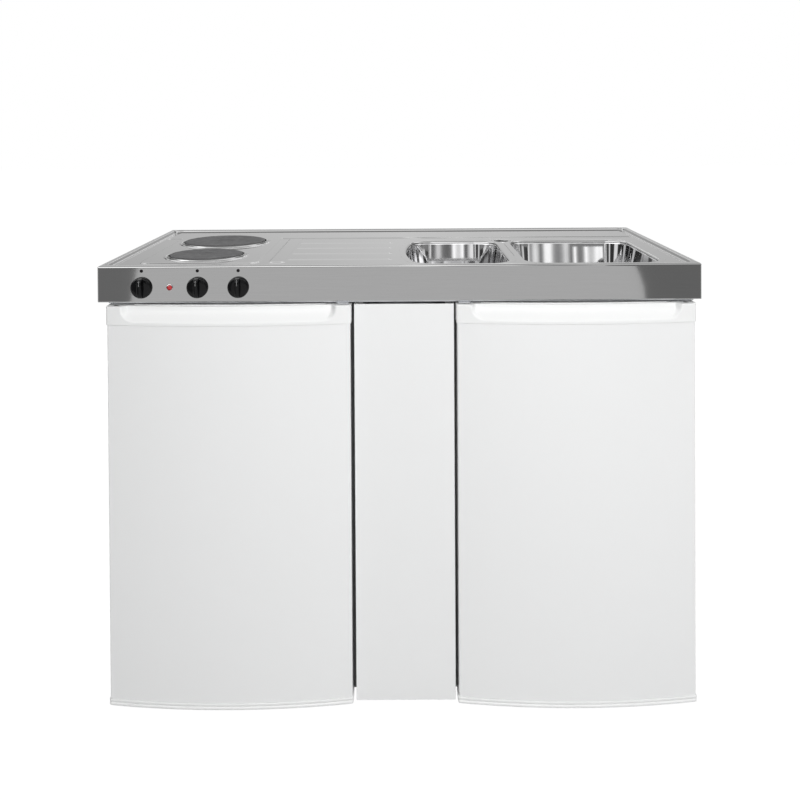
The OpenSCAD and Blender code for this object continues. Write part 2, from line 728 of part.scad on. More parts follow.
// Moulded top trim with the finger scoop, the grip channel behind it and two bush holes
module top_trim(x0, w) {
    r = bow_r(w);
    z = [door_z1 - top_trim_h, door_z1];
    front = -door_bow - trim_proud;
    color([0.93, 0.93, 0.92]) door_at(x0) difference() {
        translate([0, 0, z[0]]) linear_extrude(top_trim_h) trim_plan(w);
        // scoop: a band behind the bowed front, with slanted ends and round lower corners
        intersection() {
            translate([0, 0, z[1] - scoop_h]) linear_extrude(scoop_h + 1) intersection() {
                difference() {
                    translate([0, front - 1]) square([w, door_bow + scoop_d + 8]);
                    translate([w / 2, r - door_bow]) circle(r = r + trim_proud - scoop_d, $fn = 360);
                }
                polygon([[scoop_end - 6, front - 1], [w - scoop_end + 6, front - 1],
                    [w - scoop_end - scoop_d, scoop_d + 2], [scoop_end + scoop_d, scoop_d + 2]]);
            }
            translate([0, 30, 0]) rotate([90, 0, 0]) linear_extrude(70)
                round_rect([scoop_end - 6, w - scoop_end + 6], [z[1] - scoop_h, z[1] + 30], 14);
        }
        // grip channel
        translate([0, 0, z[1] - grip_h]) linear_extrude(grip_h + 1) intersection() {
            difference() {
                translate([w / 2, r - door_bow]) circle(r = r - scoop_d - 2, $fn = 360);
                translate([w / 2, r - door_bow]) circle(r = r - scoop_d - 2 - grip_w, $fn = 360);
            }
            translate([scoop_end + scoop_d + 6, front]) square([w - 2 * (scoop_end + scoop_d + 6), 60]);
        }
        for (bx = bush_spots(w)) rod_z(bx, pin_back, [z[1] - bush_h, z[1] + 1], bush_r + fit);
    }
}

// Moulded bottom trim with two bush holes
module bottom_trim(x0, w) {
    z = [door_z0, door_z0 + bottom_trim_h];
    color([0.93, 0.93, 0.92]) door_at(x0) difference() {
        translate([0, 0, z[0]]) linear_extrude(bottom_trim_h) trim_plan(w);
        for (bx = bush_spots(w)) rod_z(bx, pin_back, [z[0] - 1, z[1] - 2], bush_r + fit);
    }
}

// Bushes: two in the top trim and two in the bottom trim; the pair on the hinge side is bored
module door_bushes(x0, w, hinge_right) {
    low = [door_z0, door_z0 + bottom_trim_h - 2];
    high = [door_z1 - bush_h, door_z1];
    color([0.85, 0.85, 0.83]) door_at(x0) for (z = [low, high], side = [0, 1]) difference() {
        rod_z(bush_spots(w)[side], pin_back, z, bush_r);
        if ((side == 1) == hinge_right)
            rod_z(bush_spots(w)[side], pin_back, [z[0] - 1, z[1] + 1], pin_r + pin_clear);
    }
}

// Top and bottom hinge plates with their pins
module hinges(pin, w_plate) {
    half = w_plate / 2;
    color([0.7, 0.71, 0.73]) {
        span([pin[0] - half, pin[0] + half], [pin[1] - 6, case_y0 - 6],
            [apron_z - rail_t - hinge_t, apron_z - rail_t]);
        rod_z(pin[0], pin[1], [door_z1 - bush_h + 2, apron_z - rail_t - hinge_t], pin_r);
        span([pin[0] - half, pin[0] + half], [pin[1] - 6, case_y0 + 70],
            [case_z0 - hinge_t, case_z0]);
        rod_z(pin[0], pin[1], [case_z0 - hinge_t, door_z0 + bottom_trim_h - 3], pin_r);
    }
}

// ---- Refrigerator ----

case_x = [fridge_x0, fridge_x1];
case_y = [case_y0, case_y0 + fridge_d];
case_z = [case_z0, case_z1];
bay_y0 = case_y[1] - bay_d;                   // front of the compressor bay
bay_z1 = case_z0 + bay_h;                     // top of the compressor bay
room_x = [case_x[0] + wall_t, case_x[1] - wall_t];
room_z = [case_z0 + wall_t + 30, case_z1 - wall_t];
room_y1 = case_y[1] - wall_t;                 // back of the cold room

// Side view of the case without the compressor bay, carried across the width
module case_block(x, y, z, bay) {
    difference() {
        span(x, y, z);
        span([x[0] - 1, x[1] + 1], [bay[0], y[1] + 1], [z[0] - 1, bay[1]]);
    }
}

// Painted casing: two sides that run down past the bay, top, back, floor and the bay's lining
module fridge_casing() {
    s = skin;
    color([0.9, 0.9, 0.89]) difference() {
        span(case_x, case_y, case_z);
        case_block([case_x[0] + s, case_x[1] - s], [case_y[0] - 1, case_y[1] - s],
            [case_z[0] + s, case_z[1] - s], [bay_y0 - s, bay_z1 + s]);
        span([case_x[0] + s, case_x[1] - s], [bay_y0, case_y[1] + 1], [case_z[0] - 1, bay_z1]);
    }
}

// Foam between the casing and the liner
module fridge_insulation() {
    g = skin + fit;
    color([0.93, 0.88, 0.7]) difference() {
        case_block([case_x[0] + g, case_x[1] - g], [case_y[0] + liner_t + fit, case_y[1] - g],
            [case_z[0] + g, case_z[1] - g], [bay_y0 - g, bay_z1 + g]);
        liner_block(0 - fit);
    }
}

// Cold room and its step over the bay, drawn in by g
module liner_block(g) {
    difference() {
        span([room_x[0] + g, room_x[1] - g], [case_y[0] - 1, room_y1 - g],
            [room_z[0] + g, room_z[1] - g]);
        span([room_x[0] - 5, room_x[1] + 5], [bay_y0 - wall_t - g, room_y1 + 5],
            [room_z[0] - 5, bay_z1 + wall_t + g]);
    }
}

// White liner with a frame that covers the case's front edge
module fridge_liner() {
    g = skin + fit;
    color([0.95, 0.95, 0.95]) difference() {
        union() {
            intersection() {
                liner_block(0);
                span(case_x, [case_y[0], case_y[1]], case_z);
            }
            span([case_x[0] + g, case_x[1] - g], [case_y[0], case_y[0] + liner_t],
                [case_z[0] + g, case_z[1] - g]);
        }
        liner_block(liner_t);
    }
}

in_x = [room_x[0] + liner_t, room_x[1] - liner_t];
in_z = [room_z[0] + liner_t, room_z[1] - liner_t];
in_y1 = room_y1 - liner_t;
step_z = bay_z1 + wall_t + liner_t;
step_y = bay_y0 - wall_t - liner_t;

// Cold plate on the back wall, with a pressed channel
module evaporator() {
    x = [in_x[0] + 40, in_x[1] - 40];
    z = [step_z + 150, in_z[1] - 60];
    color([0.8, 0.82, 0.84]) {
        span(x, [in_y1 - 10, in_y1 - 8], z);
        for (cx = [x[0] + 12, x[1] - 12], cz = [z[0] + 12, z[1] - 12]) rod_y(cx, [in_y1 - 8, in_y1], cz, 5);
        for (i = [0 : 4]) translate([x[0] + 20, in_y1 - 10, z[0] + 25 + i * (z[1] - z[0] - 50) / 4])
            rotate([0, 90, 0]) cylinder(r = 4, h = x[1] - x[0] - 40, $fn = 24);
    }
}

// Thermostat housing on the right wall of the cold room, with the shaft bore of its dial
dial_y = case_y[0] + 150;
dial_z = in_z[1] - 60;
module thermostat_housing() {
    color([0.9, 0.9, 0.9]) difference() {
        span([in_x[1] - 34, in_x[1]], [dial_y - 50, dial_y + 60], [dial_z - 28, dial_z + 28]);
        translate([in_x[1] - 35, dial_y, dial_z]) rotate([0, 90, 0]) cylinder(r = 4 + fit, h = 20, $fn = 48);
    }
}
module thermostat_dial() {
    color([0.97, 0.97, 0.97]) translate([in_x[1] - 34, dial_y, dial_z]) rotate([0, -90, 0]) union() {
        translate([0, 0, 0.4]) cylinder(r = 17, h = 8, $fn = 96);
        translate([0, 0, 8]) intersection() {
            cylinder(r = 16, h = 6, $fn = 96);
            translate([-16, -3, 0]) cube([32, 6, 6]);
        }
        translate([0, 0, -18]) cylinder(r = 4, h = 19, $fn = 48);
    }
}

// Glass shelves with moulded front and back edges, on ribs of the liner
shelf_gap = (in_z[1] - 120 - step_z - 20) / shelf_n;
shelf_y = [case_y[0] + 105, in_y1 - 20];
module fridge_shelves() {
    for (i = [0 : shelf_n - 1]) {
        z = step_z + 20 + i * shelf_gap;
        color([0.8, 0.88, 0.87, 0.6])
            span([in_x[0] + 1, in_x[1] - 1], [shelf_y[0] + 4, shelf_y[1]], [z, z + shelf_t]);
        color([0.95, 0.95, 0.95]) {
            span([in_x[0] + 1, in_x[1] - 1], [shelf_y[0] - 4, shelf_y[0] + 4], [z - 4, z + shelf_t + 4]);
            for (s = [0, 1]) span(s == 0 ? [in_x[0], in_x[0] + 8] : [in_x[1] - 8, in_x[1]],
                [shelf_y[0] + 4, shelf_y[1]], [z - 6, z]);
        }
    }
}

// Crisper: an open clear box with a front grip, standing on the floor of the cold room
crisper_x = [in_x[0] + 14, in_x[1] - 14];
crisper_y = [case_y[0] + 100, step_y - 4];
crisper_z = [in_z[0] + seat, in_z[0] + seat + crisper_h];
module crisper() {
    color([0.85, 0.9, 0.92, 0.6]) difference() {
        union() {
            span(crisper_x, crisper_y, crisper_z);
            span(crisper_x, [crisper_y[0] - 12, crisper_y[0] + 1], [crisper_z[1] - 14, crisper_z[1]]);
        }
        span([crisper_x[0] + 2.5, crisper_x[1] - 2.5], [crisper_y[0] + 2.5, crisper_y[1] - 2.5],
            [crisper_z[0] + 2.5, crisper_z[1] + 1]);
        span([crisper_x[0] + 3, crisper_x[1] - 3], [crisper_y[0] - 9.5, crisper_y[0] - 1],
            [crisper_z[1] - 15, crisper_z[1] - 3]);
    }
}

// Hermetic compressor on its base plate in the bay
comp_x = fridge_x0 + 150;
comp_y = case_y[1] - 78;
module compressor() {
    base_z = case_z0 + skin + 2;
    color([0.12, 0.12, 0.13]) {
        span([case_x[0] + skin, case_x[1] - skin], [comp_y - 60, comp_y + 60], [case_z0, case_z0 + 3]);
        for (dx = [-60, 60], dy = [-38, 38]) rod_z(comp_x + dx, comp_y + dy, [base_z, case_z0 + 18], 9);
        span([comp_x - 75, comp_x + 75], [comp_y - 48, comp_y + 48], [case_z0 + 18, case_z0 + 21]);
        translate([comp_x, comp_y, case_z0 + 21]) union() {
            cylinder(r = 62, h = 60, $fn = 64);
            translate([0, 0, 60]) intersection() {
                sphere(r = 62, $fn = 64);
                cylinder(r = 62, h = 62, $fn = 64);
            }
        }
        span([comp_x + 55, comp_x + 95], [comp_y - 25, comp_y + 25], [case_z0 + 50, case_z0 + 100]);
    }
}

// Condenser on the back: a coil of straight tubes across upright wires
cond_x = [fridge_x0 + 60, fridge_x1 - 60];
cond_z = [bay_z1 + 40, case_z1 - 60];
cond_n = 9;
module condenser() {
    y = case_y[1] + 14;
    step = (cond_z[1] - cond_z[0]) / (cond_n - 1);
    color([0.1, 0.1, 0.1]) {
        for (i = [0 : cond_n - 1]) translate([cond_x[0], y, cond_z[0] + i * step]) rotate([0, 90, 0])
            cylinder(r = 2.5, h = cond_x[1] - cond_x[0], $fn = 16);
        for (i = [0 : cond_n - 2]) translate([cond_x[(i + 1) % 2], y, cond_z[0] + (i + 0.5) * step])
            cylinder(r = 2.5, h = step, center = true, $fn = 16);
        for (i = [0 : 8]) span([cond_x[0] + 20 + i * (cond_x[1] - cond_x[0] - 40) / 8 - 1,
            cond_x[0] + 20 + i * (cond_x[1] - cond_x[0] - 40) / 8 + 1], [y - 2.5, y - 0.5],
            [cond_z[0] - 6, cond_z[1] + 6]);
        for (cx = cond_x, cz = [cond_z[0] + step, cond_z[1] - step])
            rod_y(cx + (cx < cond_x[1] ? 10 : -10), [case_y[1], y], cz, 4, 24);
    }
}

// Levelling feet: a pad, a threaded stem and a locknut
module foot(x, y) {
    rod_z(x, y, [0, 8], foot_d / 2);
    rod_z(x, y, [8, case_z0], 5, 24);
    rod_z(x, y, [case_z0 - 6, case_z0], 9, 6);
}
module fridge_feet() color([0.15, 0.15, 0.16])
    for (x = [case_x[0] + 50, case_x[1] - 60], y = [case_y[0] + 60, bay_y0 - 40]) foot(x, y);

module fridge_hinges() hinges(fridge_pin, hinge_w);
module fridge_door_skin() door_skin(fridge_x0, fridge_w);
module fridge_door_core() door_core(fridge_x0, fridge_w, [0.93, 0.88, 0.7]);
module fridge_door_top_trim() top_trim(fridge_x0, fridge_w);
module fridge_door_bottom_trim() bottom_trim(fridge_x0, fridge_w);
module fridge_door_bushes() door_bushes(fridge_x0, fridge_w, true);

// Inner liner of the door: a flanged panel with a raised rim round the racks
rim_in = wall_t + liner_t + 22;               // rim inside the door's side edges
back_y = door_y0 + skin_d;                    // back of the skin, where the liner starts
module fridge_door_liner() {
    x = [fridge_x0, fridge_x1];
    z = [door_z0, door_z1];
    color([0.96, 0.96, 0.96]) difference() {
        union() {
            span(x, [back_y, back_y + 12], z);
            span([x[0] + rim_in, x[1] - rim_in], [back_y + 12, back_y + 32],
                [room_z[0] + 30, room_z[1] - 30]);
        }
        span([x[0] + rim_in + 14, x[1] - rim_in - 14], [back_y + 3, back_y + 33],
            [room_z[0] + 44, room_z[1] - 44]);
    }
}

// Magnetic gasket between the door and the case, inside the hinge pin's line
gasket_in = pin_side + 2;
module fridge_door_gasket() {
    x = [fridge_x0 + gasket_in, fridge_x1 - gasket_in];
    z = [case_z0 + 8, case_z1 - 8];
    y = [back_y + 12, case_y0 - seat];
    color([0.8, 0.8, 0.79]) difference() {
        span(x, y, z);
        span([x[0] + 14, x[1] - 14], [y[0] - 1, y[1] + 1], [z[0] + 14, z[1] - 14]);
    }
}

// Door racks: open trays between the two sides of the liner's rim
rack_x = [fridge_x0 + rim_in + 14, fridge_x1 - rim_in - 14];
rack_z = [room_z[0] + 60, room_z[0] + 290, room_z[0] + 490];
module fridge_door_racks() {
    y = [back_y + 3, back_y + 3 + rack_d];
    color([0.88, 0.91, 0.92, 0.7]) for (z = rack_z) difference() {
        span([rack_x[0] + fit, rack_x[1] - fit], y, [z, z + 70]);
        span([rack_x[0] + 2, rack_x[1] - 2], [y[0] + 2, y[1] - 2], [z + 2, z + 71]);
        span([rack_x[0] + 20, rack_x[1] - 20], [y[1] - 3, y[1] + 1], [z + 30, z + 50]);
    }
}

// ---- Sink cupboard ----

cup_y = [case_y0, case_y0 + cupboard_d];
module cupboard_sides() color([0.93, 0.93, 0.92]) {
    span([cup_x0, cup_x0 + board], cup_y, [case_z0, case_z1]);
    span([cup_x1 - board, cup_x1], cup_y, [case_z0, case_z1]);
}
module cupboard_bottom() color([0.93, 0.93, 0.92])
    span([cup_x0 + board, cup_x1 - board], cup_y, [case_z0, case_z0 + board]);
module cupboard_back() color([0.86, 0.85, 0.82])
    span([cup_x0 + board, cup_x1 - board], [cup_y[1] - back_t, cup_y[1]],
        [case_z0 + board, outlet_z - 60]);
module cupboard_shelf() color([0.93, 0.93, 0.92])
    span([cup_x0 + board, cup_x1 - board], [cup_y[1] - back_t - shelf_d, cup_y[1] - back_t],
        [case_z0 + board + shelf_rise, case_z0 + 2 * board + shelf_rise]);

// Post beside the cupboard door: it carries the centre panel and stops below the half bowl
mullion_x = [panel_x1 - mullion_w + 4, panel_x1 + 4];
module mullion() color([0.93, 0.93, 0.92])
    span(mullion_x, [case_y0, case_y0 + board], [case_z0 + board, deck_z - half_h - 12]);

// Folded centre panel: a flat face, side returns and flanges against the boards behind it
module centre_panel() {
    z = [door_z0, door_z1];
    color([0.92, 0.92, 0.91]) difference() {
        span([panel_x0, panel_x1], [0, case_y0], z);
        span([panel_x0 + skin, panel_x1 - skin], [skin, case_y0 - skin], [z[0] - 1, z[1] + 1]);
        span([panel_x0 + 15, panel_x1 - 15], [skin, case_y0 + 1], [z[0] - 1, z[1] + 1]);
    }
}

module cupboard_feet() color([0.15, 0.15, 0.16])
    for (x = [cup_x0 + 50, cup_x1 - 50], y = [cup_y[0] + 60, cup_y[1] - 50]) foot(x, y);
module cupboard_hinges() hinges(cup_pin, hinge_w);
module cupboard_door_skin() door_skin(cup_door_x0, cupboard_door_w);
module cupboard_door_core() {
    door_core(cup_door_x0, cupboard_door_w, [0.85, 0.8, 0.7]);
    color([0.9, 0.9, 0.9]) span([cup_door_x0, cup_door_x1], [back_y, back_y + 12], [door_z0, door_z1]);
}
module cupboard_door_top_trim() top_trim(cup_door_x0, cupboard_door_w);
module cupboard_door_bottom_trim() bottom_trim(cup_door_x0, cupboard_door_w);
module cupboard_door_bushes() door_bushes(cup_door_x0, cupboard_door_w, false);

// Moves the model so that the middle of its footprint is the origin
module placed() translate([0, -mid_y, 0]) children();

placed() worktop();
placed() surround_front();
placed() surround_rear();
placed() surround_bars();
placed() worktop_edge();
placed() half_bowl();
placed() main_bowl();
placed() half_waste();
placed() main_waste();
placed() half_strainer();
placed() main_strainer();
placed() waste_pipes();
placed() bottle_trap();
placed() front_rail();
placed() rear_rail();
placed() rail_screws();
placed() hotplate_front();
placed() hotplate_rear();
placed() spill_rings();
placed() element_cups();
placed() hob_tray();
placed() control_switches();
placed() timer_knob();
placed() front_plate_knob();
placed() rear_plate_knob();
placed() lamp_lens();
placed() lamp_body();
placed() index_dots();
placed() fridge_casing();
placed() fridge_insulation();
placed() fridge_liner();
placed() evaporator();
placed() thermostat_housing();
placed() thermostat_dial();
placed() fridge_shelves();
placed() crisper();
placed() compressor();
placed() condenser();
placed() fridge_feet();
placed() fridge_hinges();
placed() fridge_door_skin();
placed() fridge_door_core();
placed() fridge_door_liner();
placed() fridge_door_gasket();
placed() fridge_door_top_trim();
placed() fridge_door_bottom_trim();
placed() fridge_door_racks();
placed() fridge_door_bushes();
placed() cupboard_sides();
placed() cupboard_bottom();
placed() cupboard_back();
placed() cupboard_shelf();
placed() mullion();
placed() centre_panel();
placed() cupboard_feet();
placed() cupboard_hinges();
placed() cupboard_door_skin();
placed() cupboard_door_core();
placed() cupboard_door_top_trim();
placed() cupboard_door_bottom_trim();
placed() cupboard_door_bushes();
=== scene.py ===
import json
import math
import bmesh
import bpy
import numpy as np
from mathutils import Matrix, Vector

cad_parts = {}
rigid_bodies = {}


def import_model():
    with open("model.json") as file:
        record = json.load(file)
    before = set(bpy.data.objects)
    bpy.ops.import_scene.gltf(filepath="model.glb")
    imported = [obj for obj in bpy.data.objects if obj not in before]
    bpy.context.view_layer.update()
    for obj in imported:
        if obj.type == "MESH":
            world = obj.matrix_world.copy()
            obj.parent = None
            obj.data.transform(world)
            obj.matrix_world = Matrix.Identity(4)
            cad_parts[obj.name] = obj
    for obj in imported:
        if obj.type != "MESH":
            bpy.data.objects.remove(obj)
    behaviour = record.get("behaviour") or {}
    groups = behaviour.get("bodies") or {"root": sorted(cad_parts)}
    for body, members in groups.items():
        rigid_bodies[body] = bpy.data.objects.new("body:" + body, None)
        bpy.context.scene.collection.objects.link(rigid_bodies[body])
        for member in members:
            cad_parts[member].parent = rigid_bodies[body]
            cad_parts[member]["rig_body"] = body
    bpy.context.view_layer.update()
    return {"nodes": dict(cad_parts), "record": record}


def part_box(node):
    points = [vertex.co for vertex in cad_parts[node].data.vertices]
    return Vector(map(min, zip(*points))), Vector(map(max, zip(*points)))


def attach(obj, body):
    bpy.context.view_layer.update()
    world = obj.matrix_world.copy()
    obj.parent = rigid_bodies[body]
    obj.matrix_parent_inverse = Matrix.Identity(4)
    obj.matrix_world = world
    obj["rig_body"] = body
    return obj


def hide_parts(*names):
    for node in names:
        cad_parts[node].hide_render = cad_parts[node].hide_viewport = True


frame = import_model()
NODES = frame["nodes"]

# All sizes below are in millimetres, with X along the worktop from its middle, Y back from the
# front of the worktop and Z up from the floor. in_frame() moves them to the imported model's frame.
MIDDLE_Y = 285.0
EASED_FROM = 35.0                            # degrees: edges sharper than this are eased
EASED_FLAT = 32.0                            # degrees: an eased node is shaded smooth up to this
STOOD_FOR = set()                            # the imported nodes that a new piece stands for


def in_frame(points):
    """Millimetres from the worktop's front to metres from the middle of the footprint."""
    return (np.asarray(points, float) - [0.0, MIDDLE_Y, 0.0]) / 1000.0


def frame_box(node):
    """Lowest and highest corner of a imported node, back in this script's millimetres."""
    low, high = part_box(node)
    shift = np.array([0.0, MIDDLE_Y, 0.0])
    return np.array(low) * 1000 + shift, np.array(high) * 1000 + shift

# ---------------------------------------------------------------- surfaces
def joined(grids):
    """Vertices and quads of several (rows, columns, 3) grids of millimetre points, side by side."""
    points, quads, start = [], [], 0
    for grid in grids:
        rows, columns = grid.shape[:2]
        number = start + np.arange(rows * columns).reshape(rows, columns)
        points.append(grid.reshape(-1, 3))
        quads.append(np.stack([number[:-1, :-1], number[1:, :-1], number[1:, 1:], number[:-1, 1:]],
                              axis=-1).reshape(-1, 4))
        start += rows * columns
    return np.concatenate(points), np.concatenate(quads)


def linked(name, data):
    """A new object of the scene."""
    piece = bpy.data.objects.new(name, data)
    bpy.context.scene.collection.objects.link(piece)
    return piece


def shaded(name, mesh, flat_angle, paint):
    """A new object of a mesh, shaded smooth up to an angle, in one material."""
    mesh.polygons.foreach_set("use_smooth", np.ones(len(mesh.polygons), bool))
    mesh.set_sharp_from_angle(angle=math.radians(flat_angle))
    mesh.materials.clear()
    mesh.materials.append(paint)
    return linked(name, mesh)


def surface(name, grids, paint, body, replaces=(), wall=0.0, flat_angle=40.0,
            outward=True, keep=None):
    """One piece from its grids: doubles merged, faces turned outwards, shaded smooth up to an
    angle, and, where asked, given a wall."""
    points, quads = joined(grids)
    if keep is not None:                     # which quads of the first grid are there
        quads = np.concatenate([quads[:keep.size][keep.reshape(-1)], quads[keep.size:]])
    mesh = bpy.data.meshes.new(name)
    mesh.from_pydata(in_frame(points).tolist(), [], quads.tolist())
    work = bmesh.new()
    work.from_mesh(mesh)
    bmesh.ops.delete(work, geom=[v for v in work.verts if not v.link_faces], context="VERTS")
    bmesh.ops.remove_doubles(work, verts=work.verts, dist=2e-6)
    bmesh.ops.dissolve_degenerate(work, edges=work.edges, dist=1e-7)
    if outward:
        bmesh.ops.recalc_face_normals(work, faces=work.faces)
    work.to_mesh(mesh)
    work.free()
    finish(shaded(name, mesh, flat_angle, paint), body, replaces, wall)


def finish(piece, body, replaces, wall=0.0, bevel=0.0):
    """Wall and edge rounding, then the body that the piece rides on and the nodes it stands for."""
    if wall:
        solid = piece.modifiers.new("wall", "SOLIDIFY")
        solid.thickness = wall / 1000
        solid.offset = -1.0
    if bevel:
        edge = piece.modifiers.new("edge", "BEVEL")
        edge.width = bevel / 1000
        edge.segments = 2
        edge.limit_method = "ANGLE"
        edge.angle_limit = math.radians(EASED_FROM)
    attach(piece, body)
    if replaces:
        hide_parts(*replaces)
        STOOD_FOR.update(replaces)


def eased(node, paint, bevel):
    """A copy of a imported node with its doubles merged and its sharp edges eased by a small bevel;
    it stands for that node and keeps its place."""
    source = NODES[node]
    mesh = source.data.copy()
    mesh.name = node + "_eased"
    work = bmesh.new()
    work.from_mesh(mesh)
    bmesh.ops.remove_doubles(work, verts=work.verts, dist=1e-6)
    bmesh.ops.dissolve_limit(work, angle_limit=math.radians(1.0), verts=work.verts,
                             edges=work.edges)
    work.to_mesh(mesh)
    work.free()
    piece = shaded(node + "_eased", mesh, EASED_FLAT, paint)
    finish(piece, source["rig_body"], (node,), bevel=bevel)


def spaced(stops):
    """Rising values from a list of (start, end, step) stretches, with both ends of each kept."""
    parts = [np.linspace(a, b, max(2, int(round((b - a) / step)) + 1)) for a, b, step in stops]
    return np.unique(np.round(np.concatenate(parts), 4))


def ease(t):
    """Smooth step from 0 to 1 with level ends."""
    t = np.clip(t, 0, 1)
    return t * t * (3 - 2 * t)


def box_distance(x, y, low, high, radius):
    """Signed distance to a rectangle with round corners, negative inside."""
    cx, cy = (low[0] + high[0]) / 2, (low[1] + high[1]) / 2
    dx = np.abs(x - cx) - (high[0] - low[0]) / 2 + radius
    dy = np.abs(y - cy) - (high[1] - low[1]) / 2 + radius
    outside = np.hypot(np.maximum(dx, 0), np.maximum(dy, 0))
    return outside + np.minimum(np.maximum(dx, dy), 0) - radius


def turned(profile, centre, axis="z", steps=96):
    """A profile of (radius, height) points turned about an axis through centre: each point
    becomes a circle. Axis z stands up, and axis -y points out of the front."""
    profile = np.asarray(profile, float)
    angle = np.linspace(0, 2 * np.pi, steps + 1)
    radius, height = profile[:, 0][:, None], profile[:, 1][:, None]
    a, b = radius * np.cos(angle), radius * np.sin(angle)
    rise = np.broadcast_to(height, a.shape)
    grid = np.stack([a, b, rise] if axis == "z" else [a, -rise, b], -1)
    return grid + np.asarray(centre, float)


def walled(plan, z):
    """A plan of (x, y) points carried straight up through the heights z."""
    return np.concatenate([np.broadcast_to(plan[:, None], (len(plan), len(z), 2)),
                           np.broadcast_to(z[None, :, None], (len(plan), len(z), 1))], -1)


HALF_EDGE = 0.48                             # share of an edge that one rounded corner may take


def rounded(points, radius):
    """A polyline of (radius, height) points with each inner corner cut by a quadratic curve from a
    point before the corner to one after it."""
    points = np.asarray(points, float)
    out = [points[:1]]
    for i in range(1, len(points) - 1):
        back, ahead = points[i - 1] - points[i], points[i + 1] - points[i]
        reach = min(radius, np.hypot(*back) * HALF_EDGE, np.hypot(*ahead) * HALF_EDGE)
        a = points[i] + back / np.hypot(*back) * reach
        b = points[i] + ahead / np.hypot(*ahead) * reach
        t = np.linspace(0, 1, 4)[:, None]
        out.append((1 - t) ** 2 * a + 2 * t * (1 - t) * points[i] + t ** 2 * b)
    out.append(points[-1:])
    return np.concatenate(out)

# ---------------------------------------------------------------- finishes
def material(name, colour, metallic, roughness, **sockets):
    """A Principled material whose plain values sit on the shader's own sockets."""
    paint = bpy.data.materials.new(name)
    paint.use_nodes = True
    shader = paint.node_tree.nodes["Principled BSDF"]
    shader.inputs["Base Color"].default_value = (*colour, 1.0)
    shader.inputs["Metallic"].default_value = metallic
    shader.inputs["Roughness"].default_value = roughness
    for socket, value in sockets.items():
        shader.inputs[socket.replace("_", " ")].default_value = value
    return paint


def pattern(paint, scale, stretch=(1, 1, 1), detail=2.0, rough=0.5):
    """Noise on the piece's own coordinates in metres, squeezed by stretch along each axis."""
    tree = paint.node_tree
    spot = tree.nodes.new("ShaderNodeTexCoord")
    turn = tree.nodes.new("ShaderNodeMapping")
    turn.inputs["Scale"].default_value = stretch
    noise = tree.nodes.new("ShaderNodeTexNoise")
    noise.inputs["Scale"].default_value = scale
    noise.inputs["Detail"].default_value = detail
    noise.inputs["Roughness"].default_value = rough
    tree.links.new(spot.outputs["Object"], turn.inputs["Vector"])
    tree.links.new(turn.outputs["Vector"], noise.inputs["Vector"])
    return noise.outputs["Fac"]


NOISE_RANGE = (0.3, 0.7)                     # the middle range of the noise, where most of it lies


def glossed(paint, value, low, high):
    """The pattern's middle range mapped to the roughness from low to high."""
    tree = paint.node_tree
    reach = tree.nodes.new("ShaderNodeMapRange")
    reach.inputs["From Min"].default_value, reach.inputs["From Max"].default_value = NOISE_RANGE
    reach.inputs["To Min"].default_value = low
    reach.inputs["To Max"].default_value = high
    tree.links.new(value, reach.inputs["Value"])
    tree.links.new(reach.outputs["Result"], tree.nodes["Principled BSDF"].inputs["Roughness"])


def tinted(paint, value, low, high):
    """The pattern's middle range mapped to the base colour between two colours."""
    tree = paint.node_tree
    ramp = tree.nodes.new("ShaderNodeValToRGB")
    for element, place, colour in zip(ramp.color_ramp.elements, NOISE_RANGE, (low, high)):
        element.position = place
        element.color = (*colour, 1)
    tree.links.new(value, ramp.inputs["Fac"])
    tree.links.new(ramp.outputs["Color"], tree.nodes["Principled BSDF"].inputs["Base Color"])


def shades(colour, change):
    """A colour made darker and lighter by a share."""
    return [c * (1 - change) for c in colour], [min(1, c * (1 + change)) for c in colour]


def uneven(paint, value, strength, distance, before=None):
    """Adds a bump from the pattern, in metres, after an earlier bump where there is one."""
    tree = paint.node_tree
    bump = tree.nodes.new("ShaderNodeBump")
    bump.inputs["Strength"].default_value = strength
    bump.inputs["Distance"].default_value = distance
    tree.links.new(value, bump.inputs["Height"])
    if before is not None:
        tree.links.new(before, bump.inputs["Normal"])
    tree.links.new(bump.outputs["Normal"], tree.nodes["Principled BSDF"].inputs["Normal"])
    return bump.outputs["Normal"]


def brushed(name, colour, roughness, along, wave, change):
    """Stainless steel: fine brushing drawn out along one axis, slight smears in the gloss, and
    one long shallow wave of the sheet, given as (scale, stretch, height in metres)."""
    paint = material(name, colour, 1.0, roughness)
    lines = pattern(paint, 14.0, {"X": (1.2, 60, 60), "Z": (60, 60, 1.2)}[along], 3.0, 0.6)
    smear = pattern(paint, 5.0, (1.0, 1.6, 1.6), 3.0, 0.55)
    glossed(paint, smear, roughness * 0.82, roughness * 1.2)
    tinted(paint, lines, *shades(colour, change))
    scale, pull, height = wave
    fine = uneven(paint, lines, 0.02, 0.00002)
    uneven(paint, pattern(paint, scale, pull, 1.0), 1.0, height, fine)
    return paint


STEEL_TOP = brushed("satin_steel", (0.365, 0.365, 0.365), 0.045, "X", (3.0, (1, 1.6, 1.6), 0.0004),
                    0.02)
STEEL_BOWL = brushed("bowl_steel", (0.60, 0.60, 0.605), 0.05, "Z", (4.0, (1, 1, 0.02), 0.0005),
                     0.04)
WHITE_PAINT = material("white_paint", (0.86, 0.865, 0.865), 0.0, 0.32)
uneven(WHITE_PAINT, pattern(WHITE_PAINT, 900.0), 0.05, 0.00004)
WHITE_TRIM = material("white_moulding", (0.87, 0.875, 0.872), 0.0, 0.38)
uneven(WHITE_TRIM, pattern(WHITE_TRIM, 1500.0, detail=1.0), 0.06, 0.00004)

